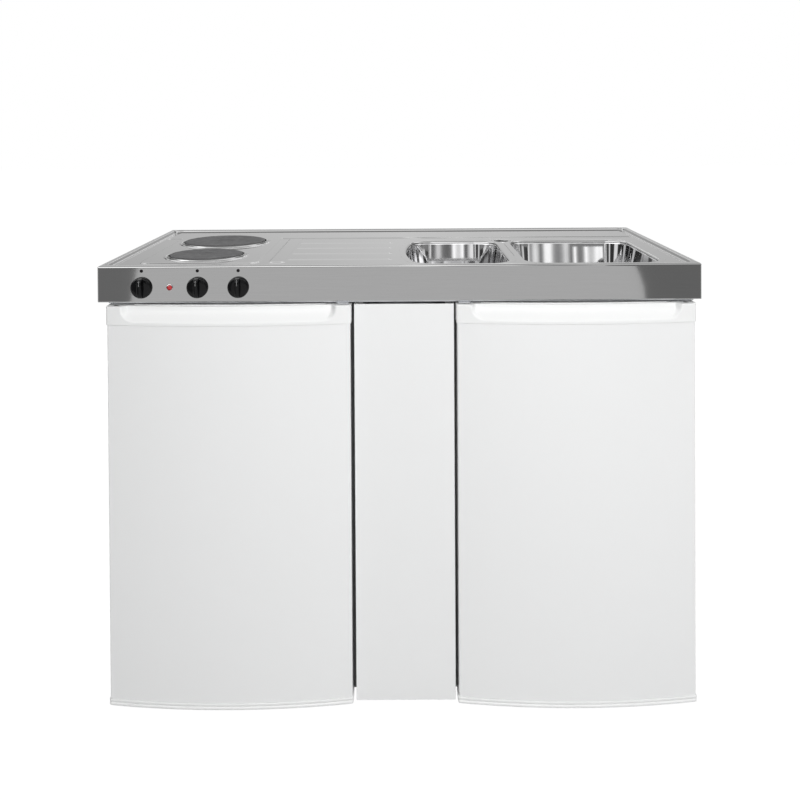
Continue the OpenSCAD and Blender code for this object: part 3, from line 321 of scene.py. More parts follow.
# ---------------------------------------------------------------- worktop
WIDTH, DEPTH, RIM_Z, DECK_Z, APRON_Z, BACK_APRON_Z = 1200.0, 600.0, 900.0, 894.0, 828.0, 864.0
SHEET = 1.0                                  # thickness of the pressed steel
RIM_INSET, RIM_FALL = 11.0, 4.4              # flat width of the rim, and width of its slope
FIELD_RISE, RIDGE_RISE, SPLASH_RISE, CHANNEL_DROP = 1.9, 1.1, 2.2, 0.9
RIDGE_HALF_WIDTH = 9.5
RIDGE_Y = [113.0, 197.0, 281.0, 365.0]
DRAINER = (-238.0, -14.0)
TAP = (245.5, 392.0)
PLATES = {"front": (-416.0, 158.0, 78.0), "rear": (-416.0, 372.0, 95.0)}
# The bowls' spines: the middles of their corners. Their openings lie BOWL_CORNER outside these.
HALF_X, MAIN_X, BOWL_Y, BOWL_CORNER = (63.0, 181.0), (310.0, 492.0), (100.0, 342.0), 48.0
BOWL_MIDDLE, BOWL_REACH = 221.0, 121.0       # middle of BOWL_Y, and half of its length
SWELL = 12.0                                 # how far the half bowl's left side swells
LIP_TURN = 5.0                               # radius at which a bowl's lip turns down
FLOOR_ROUND, WASTE_EDGE = 24.0, 45.5         # radii of a bowl's foot and of its waste hole


def pressed_ridge(along, across, half_length, half_width, height):
    """Height of a pressed ridge: a cosine hump across its width that fades over round ends."""
    past_end = np.maximum(np.abs(along) - (half_length - half_width), 0)
    reach = np.hypot(past_end, across) / half_width
    return height * 0.5 * (1 + np.cos(np.pi * np.clip(reach, 0, 1)))


def deck_height(x, y):
    """Height of the pressed top at a point: the rim, a soft fall to the deck inside it, and the
    ledge, hob field, drainer ridges, splash ridge and bridge channel added to the deck."""
    inside = -box_distance(x, y, (-WIDTH / 2 + RIM_INSET, RIM_INSET),
                           (WIDTH / 2 - RIM_INSET, DEPTH - RIM_INSET), 20)
    rise = FIELD_RISE * np.maximum(ease((y - 450.5) / 3) * ease((572 - np.abs(x)) / 3),
                                   ease(-box_distance(x, y, (-538, 62), (-290, 470), 18) / 2.6))
    for ridge_y in RIDGE_Y:
        rise = rise + pressed_ridge(x - (DRAINER[0] + DRAINER[1]) / 2, y - ridge_y,
                                    (DRAINER[1] - DRAINER[0]) / 2, RIDGE_HALF_WIDTH, RIDGE_RISE)
    rise = rise + SPLASH_RISE * ease(-box_distance(x, y, (-272, 64), (-236, 444), 12) / 6)
    channel = box_distance(x, y, (TAP[0] - 9, 150), (TAP[0] + 9, 366), 8.9)
    rise = rise - CHANNEL_DROP * ease((1.5 - channel) / 3)
    return (DECK_Z + rise * ease((inside - 4) / 6)
            + (RIM_Z - DECK_Z) * (1 - ease((inside - 1) / RIM_FALL)))


def fan(place, start, end, count=17):
    """A spine point repeated while its outward direction turns from start to end degrees."""
    return np.tile([place], (count, 1)), np.linspace(start, end, count)


def straight(place, following, way, t):
    """Spine points on a straight line, at the shares t of it, that all look one way."""
    t = t[:, None]
    return np.array([place]) * (1 - t) + np.array([following]) * t, np.full(len(t), way)


def bowl_spine(kind):
    """Points and outward directions round a bowl: each outline of the bowl is the spine pushed
    outwards by its corner radius. The half bowl's left side swells as a parabola."""
    near, far = BOWL_Y
    along = np.linspace(0, 1, 34)[1:-1]
    if kind == "main":
        left, right = MAIN_X
        corners = [((right, near), -90), ((right, far), 0), ((left, far), 90), ((left, near), 180)]
        parts = []
        for (place, start), (following, _) in zip(corners, corners[1:] + corners[:1]):
            parts += [fan(place, start, start + 90),
                      straight(place, following, start + 90.0, along)]
    else:
        left, right = HALF_X[0] + SWELL, HALF_X[1]
        across, t = np.linspace(0, 1, 21)[1:], np.linspace(1, -1, 64)[1:-1]
        tilt = math.degrees(math.atan(2 * SWELL / BOWL_REACH))
        swell = (np.stack([HALF_X[0] + SWELL * t * t, BOWL_MIDDLE + BOWL_REACH * t], 1),
                 180 - np.degrees(np.arctan(2 * SWELL * t / BOWL_REACH)))
        far_left = [part[1:] for part in fan((left, far), 90, 180 - tilt)]
        parts = [fan((right, near), -90, 0), straight((right, near), (right, far), 0.0, along),
                 fan((right, far), 0, 90), straight((right, far), (left, far), 90.0, across),
                 far_left, swell, fan((left, near), 180 + tilt, 270),
                 straight((left, near), (right, near), 270.0, across)]
    spots, turns = zip(*parts)
    spot, turn = np.concatenate(spots), np.radians(np.concatenate(turns))
    way = np.stack([np.cos(turn), np.sin(turn)], 1)
    return np.concatenate([spot, spot[:1]]), np.concatenate([way, way[:1]])


def outline_distance(x, y, kind):
    """Rough signed distance to a bowl's outline, positive outside, for leaving the deck open."""
    if kind == "main":
        return box_distance(x, y, (MAIN_X[0] - BOWL_CORNER, BOWL_Y[0] - BOWL_CORNER),
                            (MAIN_X[1] + BOWL_CORNER, BOWL_Y[1] + BOWL_CORNER), BOWL_CORNER)
    t = np.clip((y - BOWL_MIDDLE) / BOWL_REACH, -1, 1)
    past_x = np.maximum(np.maximum(HALF_X[0] + SWELL * t * t - x, x - HALF_X[1]), 0)
    return np.hypot(past_x, np.maximum(np.abs(y - BOWL_MIDDLE) - BOWL_REACH, 0)) - BOWL_CORNER


def lip(kind):
    """Rolled lip of a bowl's opening, just over the deck: the outline pushed out 15 mm, level to
    4 mm, then turned down over a quarter circle to the bowl's wall."""
    spot, way = bowl_spine(kind)
    turn = np.linspace(0, np.pi / 2, 8)
    push = np.concatenate([[15, 14.8, 11, 7], -1 + LIP_TURN * (1 - np.sin(turn))])
    drop = np.concatenate([[0, 0, 0, 0], LIP_TURN * (1 - np.cos(turn))])
    plan = spot[:, None] + way[:, None] * (BOWL_CORNER + push)[None, :, None]
    height = (DECK_Z + 0.02 - drop)[None, :, None]
    return np.concatenate([plan, np.broadcast_to(height, plan.shape[:2] + (1,))], -1)


def rim_loop(inset):
    """Points round the worktop at an inset from its edge, with the corners drawn to the same
    count of points at every inset; 3 mm corners at the edge, sharp further in. Each side has
    points close to its corners, so that its shading stays flat."""
    radius = max(3.0 - inset, 0.0)
    left, right, near, far = -WIDTH / 2 + inset, WIDTH / 2 - inset, inset, DEPTH - inset
    arcs = []
    for x, y, start in [(right, near, -90), (right, far, 0), (left, far, 90), (left, near, 180)]:
        a = np.radians(np.linspace(start, start + 90, 7))
        middle = np.array([x - np.sign(x) * radius, y + (radius if y < DEPTH / 2 else -radius)])
        arcs.append(middle + radius * np.stack([np.cos(a), np.sin(a)], 1))
    share = np.array([0.004, 0.02, 0.25, 0.5, 0.75, 0.98, 0.996])[:, None]
    loop = []
    for arc, following in zip(arcs, arcs[1:] + arcs[:1]):
        loop += [arc, arc[-1] + (following[0] - arc[-1]) * share]
    return np.concatenate(loop + [arcs[0][:1]])


def worktop():
    """The pressed top as a height over a grid whose lines crowd where the pressing bends, left
    open over the bowls and hotplates, with the bowls' rolled lips, a collar round the tap hole,
    and the rolled edge and aprons as a profile carried round the outline."""
    rim_out = [(582, 590, 0.65), (590, 593.2, 1.5), (593.2, 593.5, 0.3)]
    rim_in = [(-593.5, -593.2, 0.3), (-593.2, -590, 1.5), (-590, -582, 0.65)]
    x = spaced(rim_in + [(-582, -574, 1.5), (-574, -541, 5), (-541, -530, 1.4), (-530, -298, 7),
                         (-298, -287, 1.4), (-287, -273, 4), (-273, -264, 1.2), (-264, -244, 4),
                         (-244, -235, 1.2), (-235, -225, 2), (-225, -28, 9), (-28, -10, 1.5),
                         (-10, 560, 6), (560, 574, 2), (574, 582, 1.5)] + rim_out)
    y = spaced([(6.5, 6.8, 0.3), (6.8, 10, 1.3), (10, 18, 0.65), (18, 26, 1.3), (26, 60, 4),
                (60, 72, 1.3), (72, 101, 4)]
               + [(r - 12, r + 12, 1.7) for r in RIDGE_Y]
               + [(r + 12, r + 72, 6) for r in RIDGE_Y[:3]]
               + [(377, 434, 6), (434, 457, 1.2), (457, 574, 7), (574, 582, 1.5)] + rim_out)
    gx, gy = np.meshgrid(x, y, indexing="ij")
    top = np.stack([gx, gy, deck_height(gx, gy)], -1)
    clear = np.minimum(outline_distance(gx, gy, "half"), outline_distance(gx, gy, "main")) - 5.5
    clear = np.minimum(clear, np.hypot(gx - TAP[0], gy - TAP[1]) - 19)
    for px, py, radius in PLATES.values():
        clear = np.minimum(clear, np.hypot(gx - px, gy - py) - (radius - 5))
    keep = clear > 0
    keep = keep[:-1, :-1] & keep[1:, :-1] & keep[1:, 1:] & keep[:-1, 1:]

    # Rolled edge and apron: insets and heights, from the rim down; the back apron stops higher
    turn = np.linspace(0, np.pi / 2, 7)
    roll = np.stack([4 - 4 * np.sin(turn), RIM_Z - 4 + 4 * np.cos(turn)], 1)
    foot = [[0, 894.5], [0, 890], [0, 866], [0, APRON_Z + 8], [0, APRON_Z + 2.0],
            [0, APRON_Z + 0.9], [0.3, APRON_Z + 0.25], [0.9, APRON_Z], [4, APRON_Z]]
    edge = np.concatenate([[[6.5, RIM_Z], [5.2, RIM_Z]], roll, foot])
    rings = []
    for inset, height in edge:
        loop = rim_loop(inset)
        level = np.full(len(loop), height)
        if height < BACK_APRON_Z + 6:
            back = loop[:, 1] > DEPTH - 4
            level[back] = max(height, BACK_APRON_Z)
        rings.append(np.concatenate([loop, level[:, None]], 1))
    collar = turned([(17.5, -2), (17.5, -1.2), (18.2, -0.3), (19.5, 0.03), (23, 0.03)],
                    (*TAP, DECK_Z), steps=64)
    surface("worktop_pressing", [top, np.stack(rings, 0), lip("half"), lip("main"), collar],
            STEEL_TOP, "unit",
            ("worktop", "surround_front", "surround_rear", "surround_bars", "worktop_edge"),
            wall=SHEET, outward=False, keep=keep)


# Depth, the waste hole's x and how far the walls lean in
BOWLS = {"half": (118.0, 122.0, 13.0), "main": (145.0, 401.0, 19.0)}


def bowl(kind, depth, waste_x, lean):
    """A pressed bowl: outlines of its spine pushed out less and less with depth, down a slightly
    rippled wall that leans in, round a quarter circle to the floor, and over the floor to the
    waste hole, where each outline point has moved in a straight line to the hole's circle."""
    spot, way = bowl_spine(kind)
    floor, waste = DECK_Z - depth, [waste_x, BOWL_MIDDLE]
    turn = np.radians(np.linspace(0, 90, 10))[1:]
    push = np.concatenate([[-1, -1.3], np.linspace(-1.6, -lean, 12)[1:],
                           -lean - FLOOR_ROUND * (1 - np.cos(turn))])
    height = np.concatenate([[DECK_Z - 4.95, DECK_Z - 8],
                             np.linspace(DECK_Z - 12, floor + FLOOR_ROUND, 12)[1:],
                             floor + FLOOR_ROUND * (1 - np.sin(turn))])
    ripple = np.array([0.34 * np.sin(0.052 * spot[:, 0] + 0.08 * spot[:, 1])
                       + 0.13 * np.sin(0.12 * spot[:, 0] + 0.1 * spot[:, 1] + 2)]).T
    ripple = ripple * ease((height - floor) / 40)[None, :]
    plan = spot[:, None] + way[:, None] * (BOWL_CORNER + push[None, :, None] + ripple[:, :, None])
    level = np.broadcast_to(height[None, :, None], plan.shape[:2] + (1,))
    wall_grid = np.concatenate([plan, level], -1)
    last = plan[:, -1] - waste
    around = np.arctan2(last[:, 1], last[:, 0])
    hole = np.stack([np.cos(around), np.sin(around)], 1) * WASTE_EDGE
    t = np.linspace(0, 1, 12)[None, :, None]
    floor_plan = last[:, None] * (1 - t) + hole[:, None] * t + waste
    fall = floor - 1.2 * ease(t[..., 0]) * np.ones((len(last), 1))
    floor_grid = np.concatenate([floor_plan, fall[:, :, None]], -1)
    surface(kind + "_bowl_pressing", [np.concatenate([wall_grid, floor_grid[:, 1:]], 1)],
            STEEL_BOWL, "unit", (kind + "_bowl",), wall=SHEET, outward=False,
            flat_angle=60)


worktop()
for kind, sizes in BOWLS.items():
    bowl(kind, *sizes)

# ---------------------------------------------------------------- doors
DOOR_FRONT, DOOR_TOP = -10.0, 822.0
# Rise of the bow, how far the trims stand out, and depth of the sides
BOW, PROUD, DOOR_SIDE = 18.0, 2.0, 38.0
TRIM_HEIGHT, SCOOP_HEIGHT, SCOOP_DEPTH = 36.3, 30.0, 15.0
SCOOP_CORNER, SCOOP_MARGIN, SCOOP_STEP = 24.0, 27.0, 12.0
DOORS = {"fridge_door": (-578.0, 480.0), "cupboard_door": (113.5, 470.0)}


def bowed_plan(x0, width, grown, corner, columns=72):
    """Plan of a door's front at a growth past its skin: along the left return, round a corner,
    across the arc of the bow, round the other corner and back. Each corner is a quarter turn
    whose last direction follows the bow."""
    radius = (width * width / 4 + BOW * BOW) / (2 * BOW)
    half = width / 2 + grown
    reach = half - corner
    centre_y = DOOR_FRONT + radius - BOW
    front = centre_y - math.sqrt((radius + grown) ** 2 - reach ** 2)
    turn = np.linspace(0, np.pi / 2, 9)
    x = np.linspace(-reach, reach, columns)
    arc = np.stack([x, centre_y - np.sqrt((radius + grown) ** 2 - x * x)], 1)
    left = np.stack([-reach - corner * np.cos(turn), front + corner - corner * np.sin(turn)], 1)
    side = DOOR_FRONT + DOOR_SIDE
    left = np.concatenate([[[-half, side], [-half, (side + front + corner) / 2]], left[:-1]])
    right = left[::-1] * [-1, 1]
    plan = np.concatenate([left, arc, right])
    return plan + [x0 + width / 2, 0]


def scoop_depth(u, drop, width):
    """How far the top trim's face lies back in the finger scoop: a slope that reaches 15 mm at
    the trim's top, 30 mm above the scoop's lower edge, and ends in a soft step of 12 mm whose
    foot follows a quarter circle. u runs along the door, drop is measured down from the top."""
    low = np.clip(SCOOP_HEIGHT - drop, 0, SCOOP_HEIGHT)
    foot = SCOOP_CORNER ** 2 - np.maximum(SCOOP_CORNER - low, 0) ** 2
    curve = SCOOP_CORNER - np.sqrt(np.clip(foot, 0, None))
    end = np.minimum(u, width - u) - SCOOP_MARGIN - curve
    slope = SCOOP_DEPTH * np.sin(np.pi / 2 * low / SCOOP_HEIGHT) ** 1.15
    return slope * ease(end / SCOOP_STEP)


def door_skin(body, x0, width):
    """The painted steel skin: the bowed plan carried up between the trims."""
    plan = bowed_plan(x0, width, 0.0, 3.0)
    z = np.array([43.2, 43.4, 45, 60, 120, 260, 420, 580, 720, 770, 783, 785.3, 785.5])
    surface(body + "_front", [walled(plan, z)], WHITE_PAINT, body,
            (body + "_skin",), wall=0.9, outward=False)


def top_trim(body, x0, width):
    """The moulded top trim as one cross-section carried along the door: up the bowed front, which
    falls back into the finger scoop, over a rounded edge, down and up through the grip channel,
    and down the back to the start. The end columns close to a point inside the end faces."""
    plan = bowed_plan(x0, width, PROUD, 5.0, 200)[2:-2]
    x1 = x0 + width
    stops = [x0 - PROUD, x0 + 3, x0 + 22, x0 + 60, x1 - 60, x1 - 22, x1 - 3, x1 + PROUD]
    x = np.concatenate([stops[:1]] + [np.linspace(a, b, count)[1:] for a, b, count in
                                      zip(stops, stops[1:], (10, 6, 34, 60, 34, 6, 10))])
    order = np.argsort(plan[:, 0], kind="stable")
    front = np.interp(x, plan[order, 0], plan[order, 1])
    front[[0, -1]] = plan[0, 1]
    top, bottom = DOOR_TOP, DOOR_TOP - TRIM_HEIGHT
    z = np.concatenate([[bottom, bottom + 0.25, bottom + 1], np.linspace(bottom + 2, top - 31, 5),
                        np.linspace(top - 30, top - 18, 16), np.linspace(top - 17, top - 2.2, 8)])
    deep = scoop_depth((x - x0)[:, None], (top - z)[None, :], width)
    seam = np.concatenate([[0.6, 0.15], np.zeros(len(z) - 2)])
    face_y = front[:, None] + deep + seam[None, :]
    face = np.stack([np.broadcast_to(x[:, None], face_y.shape), face_y,
                     np.broadcast_to(z[None, :], face_y.shape)], -1)
    back = np.full(len(x), DOOR_FRONT + DOOR_SIDE)
    middle = ease((np.minimum(x - x0, x1 - x) - 49) / 5)      # 1 where the grip channel runs
    section = [(front + deep[:, -1] + y, top - h)
               for y, h in [(0.15, 1.2), (0.6, 0.5), (1.4, 0.1), (2.0, 0.0)]]
    for y, h in [(17.2, 0.2), (17.8, 1.2), (18.2, 15.2), (19.2, 16.0), (27.0, 16.0), (28.0, 15.2),
                 (28.4, 1.2), (29.0, 0.2)]:
        channel = DOOR_FRONT - BOW + y + (front - front.min())
        section.append((np.minimum(channel, back - 3), top - h * middle))
    section += [(back - 0.8, top), (back, top - 0.8), (back, bottom), (front + 0.9, bottom)]
    rest = [np.stack([x, y, np.broadcast_to(height, x.shape)], 1) for y, height in section]
    ring = np.concatenate([face, np.stack(rest, 1)], 1)
    left, right = ring[:1].copy(), ring[-1:].copy()
    left[..., 1:] = ring[0, :, 1:].mean(0)
    right[..., 1:] = ring[-1, :, 1:].mean(0)
    surface(body + "_scoop", [np.concatenate([left, ring, right])], WHITE_TRIM, body,
            (body + "_top_trim",), flat_angle=38)


def bottom_trim(body, x0, width):
    """The bottom trim: a section with a rounded bead carried round the door's plan, closed by
    flat top and bottom faces drawn in to the plan's middle line."""
    outer = bowed_plan(x0, width, PROUD, 5.0)
    inner = bowed_plan(x0, width, -6.0, 2.0)
    bead = [(1.4, 42.8), (0.6, 42.5), (0.1, 41.7), (0.0, 40.8), (0.0, 38.8), (0.5, 37.7),
            (1.5, 36.9), (1.8, 36.4), (1.5, 35.9), (0.5, 35.2), (0.0, 34.4), (0.0, 32.2),
            (0.4, 31.0), (1.1, 30.2), (1.9, 30.0)]
    step = (outer - inner) / np.linalg.norm(outer - inner, axis=1)[:, None]
    section = [(inner, bead[0][1])] + [(outer - step * inset, z) for inset, z in bead]
    section += [(inner, bead[-1][1]), (inner, bead[0][1])]
    columns = [np.concatenate([plan, np.full((len(plan), 1), z)], 1) for plan, z in section]
    surface(body + "_foot_bead", [np.stack(columns, 1)], WHITE_TRIM, body,
            (body + "_bottom_trim",), flat_angle=38)


for door, place in DOORS.items():
    for build in (door_skin, top_trim, bottom_trim):
        build(door, *place)

# ---------------------------------------------------------------- hob and controls
PLATE_TOP, RING_FOOT, CONTROL_Z = 901.5, 895.5, 857.0
LAMP_X, LENS_RADIUS = -456.0, 4.9
KNOBS = {"timer": -512.0, "front_plate": -401.0, "rear_plate": -320.0}
BAR_FOOT, BAR_RISE, BAR_HALF = 7.2, 13.8, 19.6      # start, height and half length of a grip bar


def hotplate(name, px, py, edge):
    """A cast plate turned about its middle: a shallow dish with a small sunken centre, a rounded
    shoulder and a short skirt. Gives back the grid of its spill ring, stepped outwards."""
    top = PLATE_TOP
    profile = [(0.01, top - 1.6), (14, top - 1.6), (17.5, top - 1.2), (19.5, top - 0.5),
               (22, top - 0.35), (edge - 8, top - 0.1), (edge - 4.2, top), (edge - 2, top - 0.35),
               (edge - 0.7, top - 1.2), (edge - 0.1, top - 2.6), (edge - 0.3, top - 5.2),
               (edge - 2, top - 6.6), (edge - 9, top - 7.0), (edge - 12, top - 12.5),
               (0.01, top - 12.5)]
    surface(name + "_casting", [turned(rounded(profile, 1.2), (px, py, 0), steps=144)],
            CAST_IRON, "unit", (name,), flat_angle=50)
    ring = np.array([(2.2, 0.6), (2.3, 3.4), (2.9, 4.1), (3.8, 3.7), (5.0, 1.5), (6.2, 0.8),
                     (7.8, 2.0), (9.2, 2.3), (10.6, 1.3), (11.8, 0.6), (13.4, 0.1),
                     (13.4, -0.02), (9.2, 0.3), (2.3, 0.3), (2.2, 0.6)]) + [edge, RING_FOOT]
    return turned(rounded(ring, 0.6), (px, py, 0), steps=144)


def bar_taper(share):
    """How high the grip bar still stands at a share of its half length from its middle."""
    return np.clip(1 - np.abs(share) ** 6, 0, 1) ** 0.5


def knob(name, x, body):
    """A control knob turned about its shaft, with a bevelled skirt and a domed face, and a grip
    bar across it: a rounded bar whose width and height taper smoothly to the skirt's edge. A thin
    pointer line lies along the bar's ridge."""
    skirt = [(0.01, 1.2), (19.2, 1.2), (20.6, 1.6), (21.0, 2.6), (20.9, 4.6), (20.2, 6.2),
             (18.4, 7.4), (14, 8.2), (8, 8.7), (0.01, 8.9)]
    disc = turned(rounded(skirt, 0.8), (x, 0, CONTROL_Z), axis="-y", steps=96)
    s = np.linspace(-1, 1, 41)[:, None]
    a = np.linspace(0, np.pi, 21)[None, :]
    lift = BAR_FOOT + BAR_RISE * bar_taper(s) * np.sin(a) ** 0.42
    half = 5.6 * (0.72 + 0.28 * (1 - s * s)) * np.sign(np.cos(a)) * np.abs(np.cos(a)) ** 0.42
    bar = np.stack([x + half, -lift, CONTROL_Z + BAR_HALF * s * np.ones_like(a)], -1)
    side, up = np.meshgrid([-0.4, 0.4], np.linspace(5.5, 18.2, 8), indexing="ij")
    ridge = -(BAR_FOOT + BAR_RISE * bar_taper(up / BAR_HALF)) - 0.12
    surface(name + "_moulding", [disc, bar], BLACK_GLOSS, body, (name,),
            flat_angle=45)
    surface(name + "_pointer", [np.stack([x + side, ridge, CONTROL_Z + up], -1)], MARK_WHITE, body,
            outward=False, wall=0.3)


def lamp():
    """The pilot lamp: a red lens turned about the lamp's axis, its face dipping in eight flutes,
    inside a thin bright bezel turned about the same axis."""
    place = (LAMP_X, 0, CONTROL_Z)
    lens = turned([(0.01, 4.4), (1.6, 4.3), (3.2, 3.7), (4.4, 2.6), (LENS_RADIUS, 1.2),
                   (LENS_RADIUS, 0.3)], (0, 0, 0), axis="-y", steps=72)
    angle, out = np.arctan2(lens[..., 2], lens[..., 0]), np.hypot(lens[..., 0], lens[..., 2])
    lens[..., 1] -= 0.35 * np.abs(np.cos(4 * angle)) * out / LENS_RADIUS
    surface("lamp_glow", [lens + place], RED_LENS, "unit", ("lamp_lens",),
            outward=False, flat_angle=20)
    bezel = [(4.95, 0.4), (5.0, 1.4), (5.6, 1.9), (6.3, 1.5), (6.6, 0.3), (6.6, 0.05), (4.95, 0.4)]
    surface("lamp_bezel", [turned(bezel, place, axis="-y", steps=72)], TRIM_CHROME, "unit")


CAST_IRON = material("cast_iron", (0.075, 0.075, 0.078), 0.0, 0.65, Specular_IOR_Level=0.2)
glossed(CAST_IRON, pattern(CAST_IRON, 60.0, detail=3.0), 0.58, 0.72)
tinted(CAST_IRON, pattern(CAST_IRON, 9.0), (0.082, 0.082, 0.084), (0.108, 0.108, 0.110))
uneven(CAST_IRON, pattern(CAST_IRON, 1400.0), 0.12, 0.00006)
TRIM_CHROME = material("bright_steel", (0.50, 0.50, 0.51), 1.0, 0.12)
glossed(TRIM_CHROME, pattern(TRIM_CHROME, 30.0), 0.07, 0.16)
BLACK_GLOSS = material("black_gloss", (0.002, 0.002, 0.0025), 0.0, 0.12, Specular_IOR_Level=0.2)
glossed(BLACK_GLOSS, pattern(BLACK_GLOSS, 120.0), 0.08, 0.16)
MARK_WHITE = material("mark_white", (0.30, 0.30, 0.30), 0.0, 0.4)
RED_LENS = material("red_lens", (0.50, 0.003, 0.008), 0.0, 0.12, Coat_Weight=0.4)
glossed(RED_LENS, pattern(RED_LENS, 300.0), 0.08, 0.2)
glossed(MARK_WHITE, pattern(MARK_WHITE, 300.0), 0.35, 0.5)

rings = [hotplate("hotplate_" + where, *spot) for where, spot in PLATES.items()]
surface("spill_rings_pressed", rings, STEEL_TOP, "unit", ("spill_rings",),
        flat_angle=50)
for control, knob_x in KNOBS.items():
    knob(control + "_knob", knob_x, control + "_control")
lamp()


def tap_hole_bush():
    """The black bush that lines the tap hole under the deck: a short tube turned about the hole's
    axis, with a rounded top edge."""
    section = [(17.6, -1.3), (17.5, -1.8), (17.5, -9.0), (19.2, -9.0), (19.2, -1.5), (18.4, -1.2),
               (17.6, -1.3)]
    surface("tap_hole_bush", [turned(section, (*TAP, DECK_Z), steps=64)], FOOT_BLACK, "unit")


def rail_skirt():
    """The folded strip that closes the slit over the centre panel: a profile of (y, z) points
    down the front rail's web, round a bend and forward, carried along the panel."""
    low, high = frame_box("centre_panel")
    y = high[1] - 2.7
    section = np.array([(y, 824.0), (y, 811.2), (y - 0.3, 810.2), (y - 1.2, 809.4),
                        (y - 2.4, 809.1), (y - 8.0, 809.0)])
    grid = np.stack([np.concatenate([np.full((len(section), 1), x), section], 1)
                     for x in (low[0] + 15.6, high[0] - 15.6)])
    surface("rail_skirt", [grid], ZINC, "unit", wall=0.9)


def gap_shade_strips():
    """Dark strips behind the gaps beside the centre panel, flush with its foot, whose dark grey is
    painted shade standing in for the deep shadow in those gaps: a rounded strip as a profile of (x,
    y) points from the panel's edge to just behind the door's, carried up the panel, and the same
    profile turned to the other side."""
    low, high = frame_box("centre_panel")
    left_door = frame_box("fridge_door_skin")[1][0]
    right_door = frame_box("cupboard_door_skin")[0][0]
    back = high[1] - 8.5
    z = np.array([low[2], low[2] + 0.5, high[2] - 1.0, high[2] - 0.5])
    grids = []
    for edge, door in ((low[0] - 0.05, left_door - 0.9), (high[0] + 0.05, right_door + 0.9)):
        reach, side = abs(door - edge), np.sign(door - edge)
        profile = np.array([(0.0, back), (reach - 0.8, back), (reach - 0.2, back + 0.4),
                            (reach, back + 1.1), (reach - 0.2, back + 1.8),
                            (reach - 0.8, back + 2.2), (0.0, back + 2.2), (0.0, back)])
        ring = walled(profile[::int(side)] * [side, 1] + [edge, 0], z)
        foot, head = ring[:, :1].copy(), ring[:, -1:].copy()
        foot[..., :2] = ring[:-1, 0, :2].mean(0)
        head[..., :2] = ring[:-1, -1, :2].mean(0)
        grids.append(np.concatenate([foot, ring, head], 1))
    surface("gap_shade_strips", grids, PAINTED_GAP_SHADE, "unit", flat_angle=50)

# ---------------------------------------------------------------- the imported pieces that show
def plain(name, colour, metallic, roughness, scale, change=0.05, bump=0.0, **sockets):
    """A moulded, cast or coated finish: the colour drifts a little, the gloss more, and a fine
    grain lies on it."""
    paint = material(name, colour, metallic, roughness, **sockets)
    tinted(paint, pattern(paint, scale), *shades(colour, change))
    glossed(paint, pattern(paint, scale * 4), roughness * 0.85, min(1, roughness * 1.2))
    if bump:
        uneven(paint, pattern(paint, scale * 60), bump, 0.00005)
    return paint


FOOT_BLACK = plain("foot_plastic", (0.022, 0.022, 0.024), 0.0, 0.5, 20, 0.1, 0.12)
ZINC = plain("zinc_steel", (0.56, 0.57, 0.59), 1.0, 0.36, 45, 0.16, 0.05)
# painted shade: a dark grey that stands for the deep shadow in the gaps beside the centre panel
PAINTED_GAP_SHADE = plain("painted_gap_shade_grey", (0.15, 0.15, 0.155), 0.0, 0.6, 20, 0.1, 0.12)
tap_hole_bush()
rail_skirt()
gap_shade_strips()
FINISH = {
    "worktop_steel": STEEL_TOP, "bowl_steel": STEEL_BOWL, "bright_steel": TRIM_CHROME,
    "cast_iron": CAST_IRON, "black_plastic": BLACK_GLOSS, "red_lens": RED_LENS,
    "white_enamel": WHITE_PAINT, "white_trim": WHITE_TRIM, "zinc_steel": ZINC,
    "foot_plastic": FOOT_BLACK,
    "switch_plastic": plain("switch_plastic", (0.72, 0.70, 0.60), 0.0, 0.45, 20, 0.03, 0.10),
    "white_plastic": plain("white_plastic", (0.80, 0.81, 0.81), 0.0, 0.36, 12, 0.015, 0.06),
    "clear_plastic": plain("clear_plastic", (0.88, 0.94, 0.96), 0.0, 0.10, 10, 0.02, 0.0,
                           Transmission_Weight=0.82, IOR=1.49),
    "shelf_glass": plain("shelf_glass", (0.84, 0.94, 0.90), 0.0, 0.03, 10, 0.02, 0.0,
                         Transmission_Weight=0.95, IOR=1.52),
    "foam": plain("foam", (0.80, 0.72, 0.45), 0.0, 0.9, 30, 0.10, 0.5),
    "gasket_rubber": plain("gasket_rubber", (0.66, 0.66, 0.64), 0.0, 0.62, 25, 0.04, 0.15),
    "aluminium": plain("aluminium", (0.72, 0.73, 0.75), 1.0, 0.32, 30, 0.06, 0.06),
    "black_metal": plain("black_metal", (0.018, 0.018, 0.02), 0.2, 0.42, 25, 0.15, 0.12),
    "white_board": plain("white_board", (0.80, 0.80, 0.785), 0.0, 0.48, 15, 0.015, 0.18),
    "back_board": plain("back_board", (0.70, 0.67, 0.60), 0.0, 0.6, 15, 0.04, 0.25),
    "pipe_plastic": plain("pipe_plastic", (0.78, 0.78, 0.76), 0.0, 0.42, 15, 0.02, 0.05),
}
BEVEL = 0.3                                  # width of an eased edge that BEVELS doesn't name
BEVELS = {"centre_panel": 1.2, "cupboard_sides": 0.8, "cupboard_bottom": 0.8, "cupboard_shelf": 0.8,
          "mullion": 0.8, "fridge_casing": 0.8, "crisper": 1.2, "fridge_door_racks": 1.0,
          "fridge_liner": 1.0, "fridge_shelves": 0.6, "fridge_door_liner": 1.0,
          "thermostat_housing": 1.2, "fridge_feet": 0.6, "cupboard_feet": 0.6}
for part in frame["record"]["subparts"]:
    coat = FINISH[part["material_slot"]]
    mesh = NODES[part["node"]].data
    mesh.materials.clear()
    mesh.materials.append(coat)
    if part["node"] not in STOOD_FOR:
        eased(part["node"], coat, BEVELS.get(part["node"], BEVEL))

